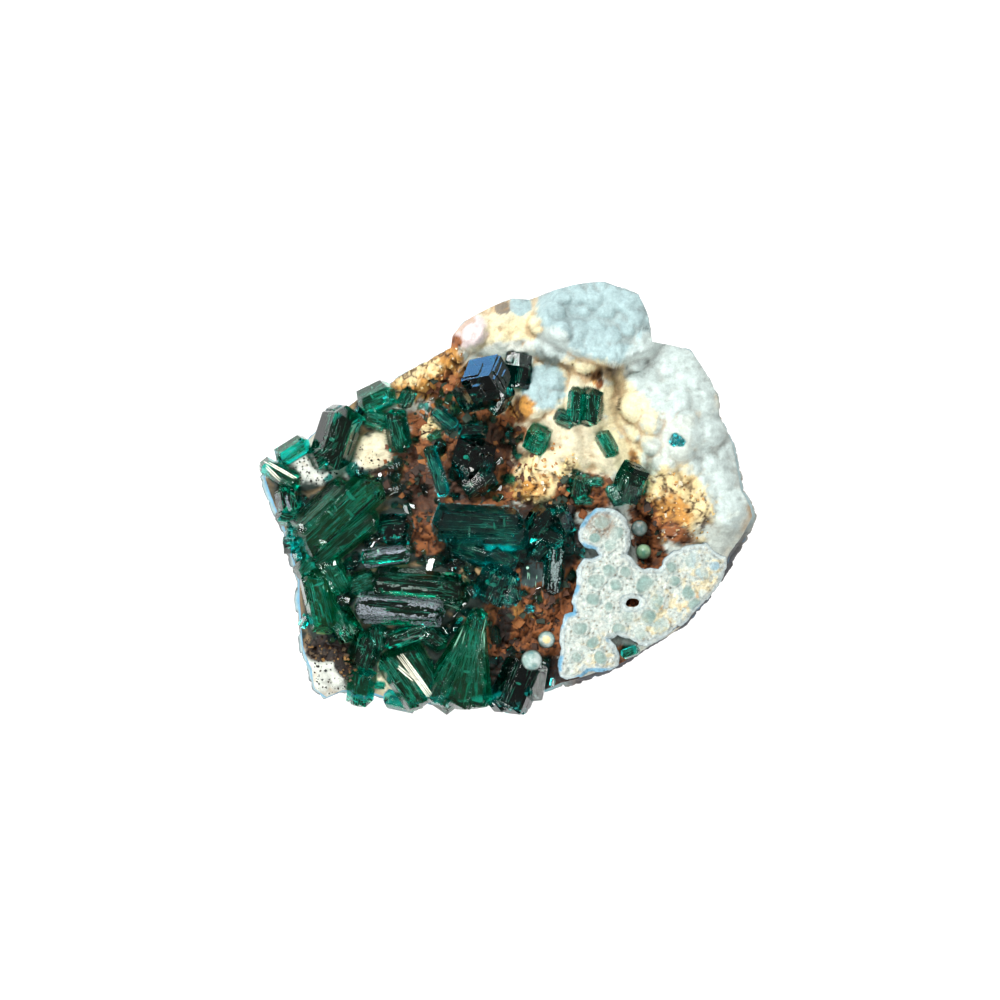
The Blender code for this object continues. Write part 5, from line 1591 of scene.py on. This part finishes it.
def add_small_crystals(name, zones, count, length, look, seed):
    """Many small prisms, half sunk in the rock between the large ones."""
    random = np.random.default_rng(seed)
    x, y, level = scatter(zones, count, random)
    bm = bmesh.new()
    grain = bm.verts.layers.float_vector.new("grain")
    for k in range(len(x)):
        size = random.uniform(*length)
        width = size * random.uniform(0.42, 0.8)
        depth = width * random.uniform(0.8, 1.0)
        tilt = random.uniform(-15, 40)
        row = (x[k], y[k], level[k] + depth * random.uniform(0.35, 0.75) + size * 0.3
               * math.sin(math.radians(max(tilt, 0))), random.uniform(0, 360), tilt,
               random.uniform(0, 60), size, width, depth, 0.0)
        prism = Prism(row)
        places = prism.points()
        verts = [bm.verts.new(place) for place in places]
        for vert, value in zip(verts, prism.local(places) + 5.0 * k):
            vert[grain] = value
        for face in PRISM_FACES:
            bm.faces.new([verts[n] for n in face])
    bmesh.ops.recalc_face_normals(bm, faces=bm.faces)
    bmesh.ops.bevel(bm, geom=list(bm.edges), offset=0.03, segments=1, affect="EDGES", profile=0.5,
                    clamp_overlap=True)
    bmesh.ops.scale(bm, vec=(MM, MM, MM), verts=bm.verts)
    mesh = bpy.data.meshes.new(name)
    bm.to_mesh(mesh)
    bm.free()
    mesh.materials.append(look)
    place_piece(put(name, mesh))


# Frosted prisms: the node, which of its crystals, coverage, and the film's colour
FROSTED = (
    ("crystals_long_pair", 1, 0.62, (138, 148, 156)),
    ("crystal_frosted_small", 0, 0.42, (160, 166, 178)),
    ("crystals_frosted_centre", 1, 0.30, (150, 170, 168)),
    ("crystals_long_pair", 0, 0.10, (120, 140, 130)),
    ("crystals_below_pair", 0, 0.12, (110, 130, 120)),
    ("crystals_left_tip", 1, 0.10, (150, 160, 170)),
)
FILM_PITCH = 0.13
DOWN = Vector((0, 0, -1))
ABOVE_ALL = 30.0


def film_spots(name, prism, cover, seed):
    """Places and face directions where a film of fine grains covers a crystal, in streaks."""
    points = prism.points()
    low, high = points.min(0), points.max(0)
    gx, gy = np.meshgrid(np.arange(low[0], high[0], FILM_PITCH),
                         np.arange(low[1], high[1], FILM_PITCH), indexing="ij")
    random = np.random.default_rng(seed)
    x = gx.ravel() + random.uniform(-0.06, 0.06, gx.size)
    y = gy.ravel() + random.uniform(-0.06, 0.06, gx.size)
    bottom, top = prism.envelope(x, y)
    local = prism.local(np.stack([x, y, top], axis=1)) * np.array([1.0, 1.0, 0.16])
    streaks = layered_noise(local, 0.5, seed) + 0.6 * layered_noise(local, 1.6, seed + 9)
    wanted = (bottom < top) & (streaks > np.quantile(streaks[bottom < top], 1 - cover))
    found = []
    for px, py, pz in zip(x[wanted], y[wanted], top[wanted]):
        hit, normal, _, _ = SURFACES[name].ray_cast(Vector((px, py, ABOVE_ALL)), DOWN)
        if hit is not None and normal.z > 0.25 and abs(hit.z - pz) < 0.9:
            found.append((hit, normal))
    return found


# One flake's triangles: its top, its underside and its edge
FLAKE_FACES = ((0, 1, 2), (0, 2, 3), (0, 3, 5), (3, 4, 5),
               (8, 7, 6), (9, 8, 6), (11, 9, 6), (11, 10, 9),
               *((n, 6 + n, 6 + (n + 1) % 6) for n in range(6)),
               *((n, 6 + (n + 1) % 6, (n + 1) % 6) for n in range(6)))
FLAKE_CORNERS = 12


def flakes(found, size, thickness, random):
    """Flat six-sided flakes lying on faces."""
    points = []
    faces = []
    for hit, normal in found:
        first = normal.orthogonal().normalized()
        second = normal.cross(first)
        reach = random.uniform(*size)
        spin = random.uniform(0, 6.28)
        start = len(points)
        ring = []
        for n in range(6):
            turn = spin + math.radians(60 * n)
            far = reach * random.uniform(0.6, 1.1)
            ring.append(first * math.cos(turn) * far + second * math.sin(turn) * far)
        points += [hit + place + normal * thickness for place in ring]
        points += [hit + place * 1.1 - normal * 0.02 for place in ring]
        faces += [tuple(start + n for n in face) for face in FLAKE_FACES]
    return points, faces


def make_film(look):
    """The silvery film on the frosted crystals."""
    random = np.random.default_rng(88)
    points = []
    faces = []
    tints = []
    for k, (name, which, cover, colour) in enumerate(FROSTED):
        found = film_spots(name, PRISMS[name][which], cover, 400 + k)
        some_points, some_faces = flakes(found, (0.05, 0.11), 0.012, random)
        faces += [tuple(n + len(points) for n in face) for face in some_faces]
        points += some_points
        shade = np.repeat(random.uniform(0.65, 1.2, len(found)), FLAKE_CORNERS)
        tints.append(clip(linear(colour) * shade[:, None]))
    add_piece("frost_film", points, faces, look, smooth=False,
              tints=np.concatenate(tints))


def make_dust(look, count, seed):
    """Fine pale specks scattered over the crystals."""
    random = np.random.default_rng(seed)
    x = random.uniform(-29.0, 16.0, count)
    y = random.uniform(-25.0, 17.0, count)
    found = []
    for px, py in zip(x, y):
        best = None
        for tree in SURFACES.values():
            hit, normal, _, _ = tree.ray_cast(Vector((px, py, ABOVE_ALL)), DOWN)
            if hit is not None and (best is None or hit.z > best[0].z):
                best = (hit, normal)
        if best is not None and best[1].z > 0.3:
            found.append(best)
    points, faces = flakes(found, (0.018, 0.06), 0.03, random)
    shade = np.repeat(random.uniform(0.5, 1.1, len(found)), FLAKE_CORNERS)
    tints = clip(linear((196, 214, 204)) * shade[:, None])
    add_piece("crystal_dust", points, faces, look, smooth=False, tints=tints)


# Cleavage splinters: x and y of both ends, width, and the crystals they lie on
SPLINTERS = (
    (-13.6, -18.7, -9.5, -24.3, 0.85, ("crystals_cleaved", "crystals_fan")),
    (-13.5, -20.6, -11.4, -22.4, 0.5, ("crystals_cleaved",)),
    (-29.8, 4.6, -25.6, 2.2, 0.42, ("crystals_left_tip",)),
    (-29.7, 4.0, -27.8, 2.1, 0.42, ("crystals_left_tip",)),
)


def make_splinters(look):
    """Cream slivers of cleaved crystal, lying along the crystals' tops."""
    random = np.random.default_rng(77)
    points = []
    faces = []
    for x0, y0, x1, y1, width, names in SPLINTERS:
        way = np.array([x1 - x0, y1 - y0])
        length = np.linalg.norm(way)
        way /= length
        side = np.array([-way[1], way[0]])
        strands = max(2, int(width / 0.17))
        for s in range(strands):
            offset = (s - (strands - 1) / 2) * width / strands + random.uniform(-0.03, 0.03)
            begin = random.uniform(0, 0.14) * length
            end = length * (1 - random.uniform(0, 0.14))
            half = width / strands * random.uniform(0.38, 0.52)
            stops = np.linspace(begin, end, 9)
            line = np.array([x0, y0]) + stops[:, None] * way + offset * side
            top = crystal_tops(line[:, 0], line[:, 1], names)
            top = np.where(top < 0, rock_surface(line[:, 0], line[:, 1])[0], top)
            fitted = np.polyval(np.polyfit(stops, top, 2), stops)
            height = np.maximum(fitted, top) + random.uniform(0.0, 0.12)
            start = len(points)
            for k in range(len(stops)):
                taper = 0.35 + 0.65 * math.sin(math.pi * (k + 0.35) / (len(stops) - 0.3))
                for across, up in ((-1, -0.12), (1, -0.12), (0.85, 0.07), (-0.85, 0.07)):
                    spot = line[k] + side * half * taper * across
                    points.append((spot[0], spot[1], height[k] + up))
            for k in range(len(stops) - 1):
                for c in range(4):
                    a, b = start + 4 * k + c, start + 4 * k + (c + 1) % 4
                    faces.append((a, b, b + 4, a + 4))
            faces.append((start + 3, start + 2, start + 1, start))
            last = start + 4 * (len(stops) - 1)
            faces.append((last, last + 1, last + 2, last + 3))
    add_piece("cleavage_splinters", points, faces, look, smooth=False)


# Stage, lights and camera

FLOOR_HOLE = 0.80
FLOOR_RINGS = (60.0, 200.0, 1000.0, 4000.0)
FLOOR_COLOUR = (0.30, 0.30, 0.30, 1.0)
FLOOR_GLOW = 0.80
# Azimuth and elevation in degrees, distance and size in metres, watts, and colour
LIGHTS = {
    "key": (108, 52, 0.42, 0.18, 2.7, (1.0, 1.0, 1.0)),
    "left": (185, 36, 0.45, 0.20, 0.9, (1.0, 1.0, 1.0)),
    "right": (346, 36, 0.45, 0.20, 1.1, (1.0, 1.0, 1.0)),
    "front": (240, 30, 0.45, 0.24, 2.0, (1.0, 1.0, 1.0)),
    "blue_card": (102, 10, 0.40, 0.05, 0.05, (0.16, 0.48, 1.0)),
    "flash_card": (124, 3, 0.40, 0.05, 0.14, (1.0, 1.0, 1.0)),
    "below": (200, -55, 0.45, 0.25, 1.6, (1.0, 1.0, 1.0)),
}
WORLD_LIGHT = 0.16
CAMERA_PLACE = (-0.00098, -0.00025, 0.90)
CAMERA_LENS = 260.5


def make_floor():
    """A wide pale floor with a hole hidden under the specimen, so its underside gets light too."""
    ring = [np.array(OUTLINE) * FLOOR_HOLE]
    for reach in FLOOR_RINGS:
        turns = np.arctan2(ring[0][:, 1], ring[0][:, 0])
        ring.append(np.stack([reach * np.cos(turns), reach * np.sin(turns)], axis=1))
    points = [(x, y, -0.01) for loop in ring for x, y in loop]
    count = len(OUTLINE)
    faces = []
    for r in range(len(ring) - 1):
        for k in range(count):
            after = (k + 1) % count
            faces.append((r * count + k, r * count + after, (r + 1) * count + after,
                          (r + 1) * count + k))
    mesh = bpy.data.meshes.new("floor")
    mesh.from_pydata([tuple(value * MM for value in point) for point in points], [], faces)
    made, _, shader = new_material("floor")
    shader.inputs["Base Color"].default_value = FLOOR_COLOUR
    shader.inputs["Roughness"].default_value = 0.9
    shader.inputs["Specular IOR Level"].default_value = 0.1
    shader.inputs["Emission Color"].default_value = (1.0, 1.0, 1.0, 1.0)
    shader.inputs["Emission Strength"].default_value = FLOOR_GLOW
    mesh.materials.append(made)
    floor = put("floor", mesh)


def add_light(name, azimuth, elevation, distance, size, power, colour):
    """A square soft light that faces the specimen; azimuth 0 is the photo's right, 90 its top."""
    light = bpy.data.lights.new(name, "AREA")
    light.size = size
    light.energy = power
    light.color = colour
    lamp = put(name, light)
    around, above = math.radians(azimuth), math.radians(elevation)
    way = Vector((math.cos(around) * math.cos(above), math.sin(around) * math.cos(above),
                  math.sin(above)))
    lamp.location = way * distance
    lamp.rotation_euler = way.to_track_quat("Z", "Y").to_euler()


def make_stage():
    """The floor, the lights, the world's light and the camera, straight above as in the photo."""
    make_floor()
    for name, values in LIGHTS.items():
        add_light(name, *values)
    world = bpy.data.worlds.new("studio")
    world.use_nodes = True
    backdrop = world.node_tree.nodes["Background"]
    backdrop.inputs["Color"].default_value = (1.0, 1.0, 1.0, 1.0)
    backdrop.inputs["Strength"].default_value = WORLD_LIGHT
    scene = bpy.context.scene
    scene.world = world
    scene.view_settings.view_transform = "Standard"

    data = bpy.data.cameras.new("camera")
    data.lens = CAMERA_LENS
    data.clip_start = 0.01
    data.clip_end = 10.0
    camera = put("camera", data)
    camera.location = CAMERA_PLACE
    scene.camera = camera


def make_spherules(look):
    """The small balls, a little rough, each mottled in its own colours and painted darker towards its
    underside as shade.
    """
    for k, (name, (x, y, z, radius)) in enumerate(SPHERULES.items()):
        bm = bmesh.new()
        bmesh.ops.create_icosphere(bm, subdivisions=5, radius=1.0)
        ways = np.array([vert.co for vert in bm.verts])
        faces = [[vert.index for vert in face.verts] for face in bm.faces]
        bm.free()
        rough = 0.03 * layered_noise(ways * radius, 0.6, 120 + k)
        near, _, _ = scattered_cells(np.arctan2(ways[:, 1], ways[:, 0]) * 2.2 + ways[:, 2],
                                     ways[:, 2] * 2.4, 0.42, 124 + k)
        rough = rough + 0.035 * domes(near) - 0.05
        points = ways * (radius * (1.0 + rough - 0.02))[:, None] + np.array([x, y, z])
        colour = painted(len(ways), (140, 168, 160))
        mottle = layered_noise(ways, 0.7, 140 + k)
        colour = blend_colour(colour, "pale_blue", smoothstep(mottle * 2.0 + 0.1) * 0.8)
        colour = blend_colour(colour, "turquoise", smoothstep(-mottle * 2.2 - 0.2) * 0.55)
        middle = smoothstep((ways[:, 2] - 0.86 + 0.1 * mottle) / 0.1)
        if name == "spherule_ochre_core":
            colour = blend_colour(colour, "yellow", middle)
        if name == "spherule_grey_green":
            colour = blend_colour(colour * 0.45, "ochre", smoothstep(mottle * 2 - 0.4) * 0.4)
        if name == "spherule_pale_green":
            colour = colour * np.array([0.62, 0.78, 0.50])
        # Darker towards each ball's underside: painted shade
        edge = smoothstep((0.62 - ways[:, 2]) / 0.4)
        colour = blend_colour(colour, "green_shadow", edge * 0.8)
        colour = clip(colour * (1 + 0.08 * layered_noise(ways, 0.25, 130 + k))[:, None])
        add_piece(name + "_ball", points, faces, look, [name], tints=colour)


# Grains: name, zones, how many, sizes, flatness, colours, seed and how high they are heaped
GRAINS_BELOW_FILM = (
    ("rust_crumbs", RUST_ZONES, 760, (0.2, 1.15), 0.35,
     ((150, 84, 36), (104, 58, 28), (168, 104, 50), (52, 34, 22), (74, 44, 26), (40, 60, 44)), 303),
    ("ochre_crumbs", OCHRE_ZONES, 300, (0.12, 0.5), 0.4,
     ((226, 200, 140), (206, 160, 90), (236, 226, 196), (170, 116, 56)), 304),
    ("hole_crumbs", HOLE_ZONES, 26, (0.25, 0.5), 0.8, ((126, 72, 36), (92, 52, 28)), 307, 1.7),
)
GRAINS_ON_LEDGES = (
    ("dark_specks", SPECK_ZONES, 420, (0.07, 0.30), 0.8,
     ((30, 26, 22), (50, 36, 26), (24, 34, 30)), 305),
    ("clump_crumbs", CLUMP_ZONES, 260, (0.15, 0.5), 0.7,
     ((44, 34, 26), (66, 50, 34), (30, 26, 22), (150, 110, 56), (96, 76, 50)), 308),
)


def main():
    """Every piece in turn; later crystals are cut back from the earlier ones."""
    rock = tinted_material("rock", 0.30, 0.80, contrast=0.20, bump=0.05, specks=0.12)
    crust = tinted_material("crust", 0.14, 0.72, contrast=0.30, bump=0.04)
    pearl = tinted_material("spherule", 0.25, 0.35, contrast=0.12, bump=0.02)
    looks = {kind: crystal_material("dioptase_" + kind, colour, density, relief)
             for kind, (colour, density, relief) in BODY_COLOURS.items()}
    veil = veil_material("dioptase_veil", (0.30, 0.66, 0.46), 0.28)
    make_rock(rock)
    make_crust(crust)
    make_spherules(pearl)
    earlier = []
    for k, name in enumerate(CRYSTALS):
        make_group(name, looks, veil, earlier, 200 + k)
        earlier += CRYSTALS[name]
    add_small_crystals("small_crystals", INFILL_ZONES, 700, (0.9, 2.6), looks["deep"], 301)
    add_small_crystals("crystal_fragments", FRAGMENT_ZONES, 90, (0.7, 2.4), looks["deep"], 302)
    make_splinters(veil_material("cleavage", (0.93, 0.90, 0.74), 0.22))
    for row in GRAINS_BELOW_FILM:
        add_grains(rock, *row)
    make_film(tinted_material("frost_film", 0.10, 0.40, contrast=0.2, bump=0.01))
    make_dust(tinted_material("dust", 0.10, 0.5, contrast=0.2, bump=0.01), 2600, 306)
    for row in GRAINS_ON_LEDGES:
        add_grains(rock, *row)
    make_stage()


main()
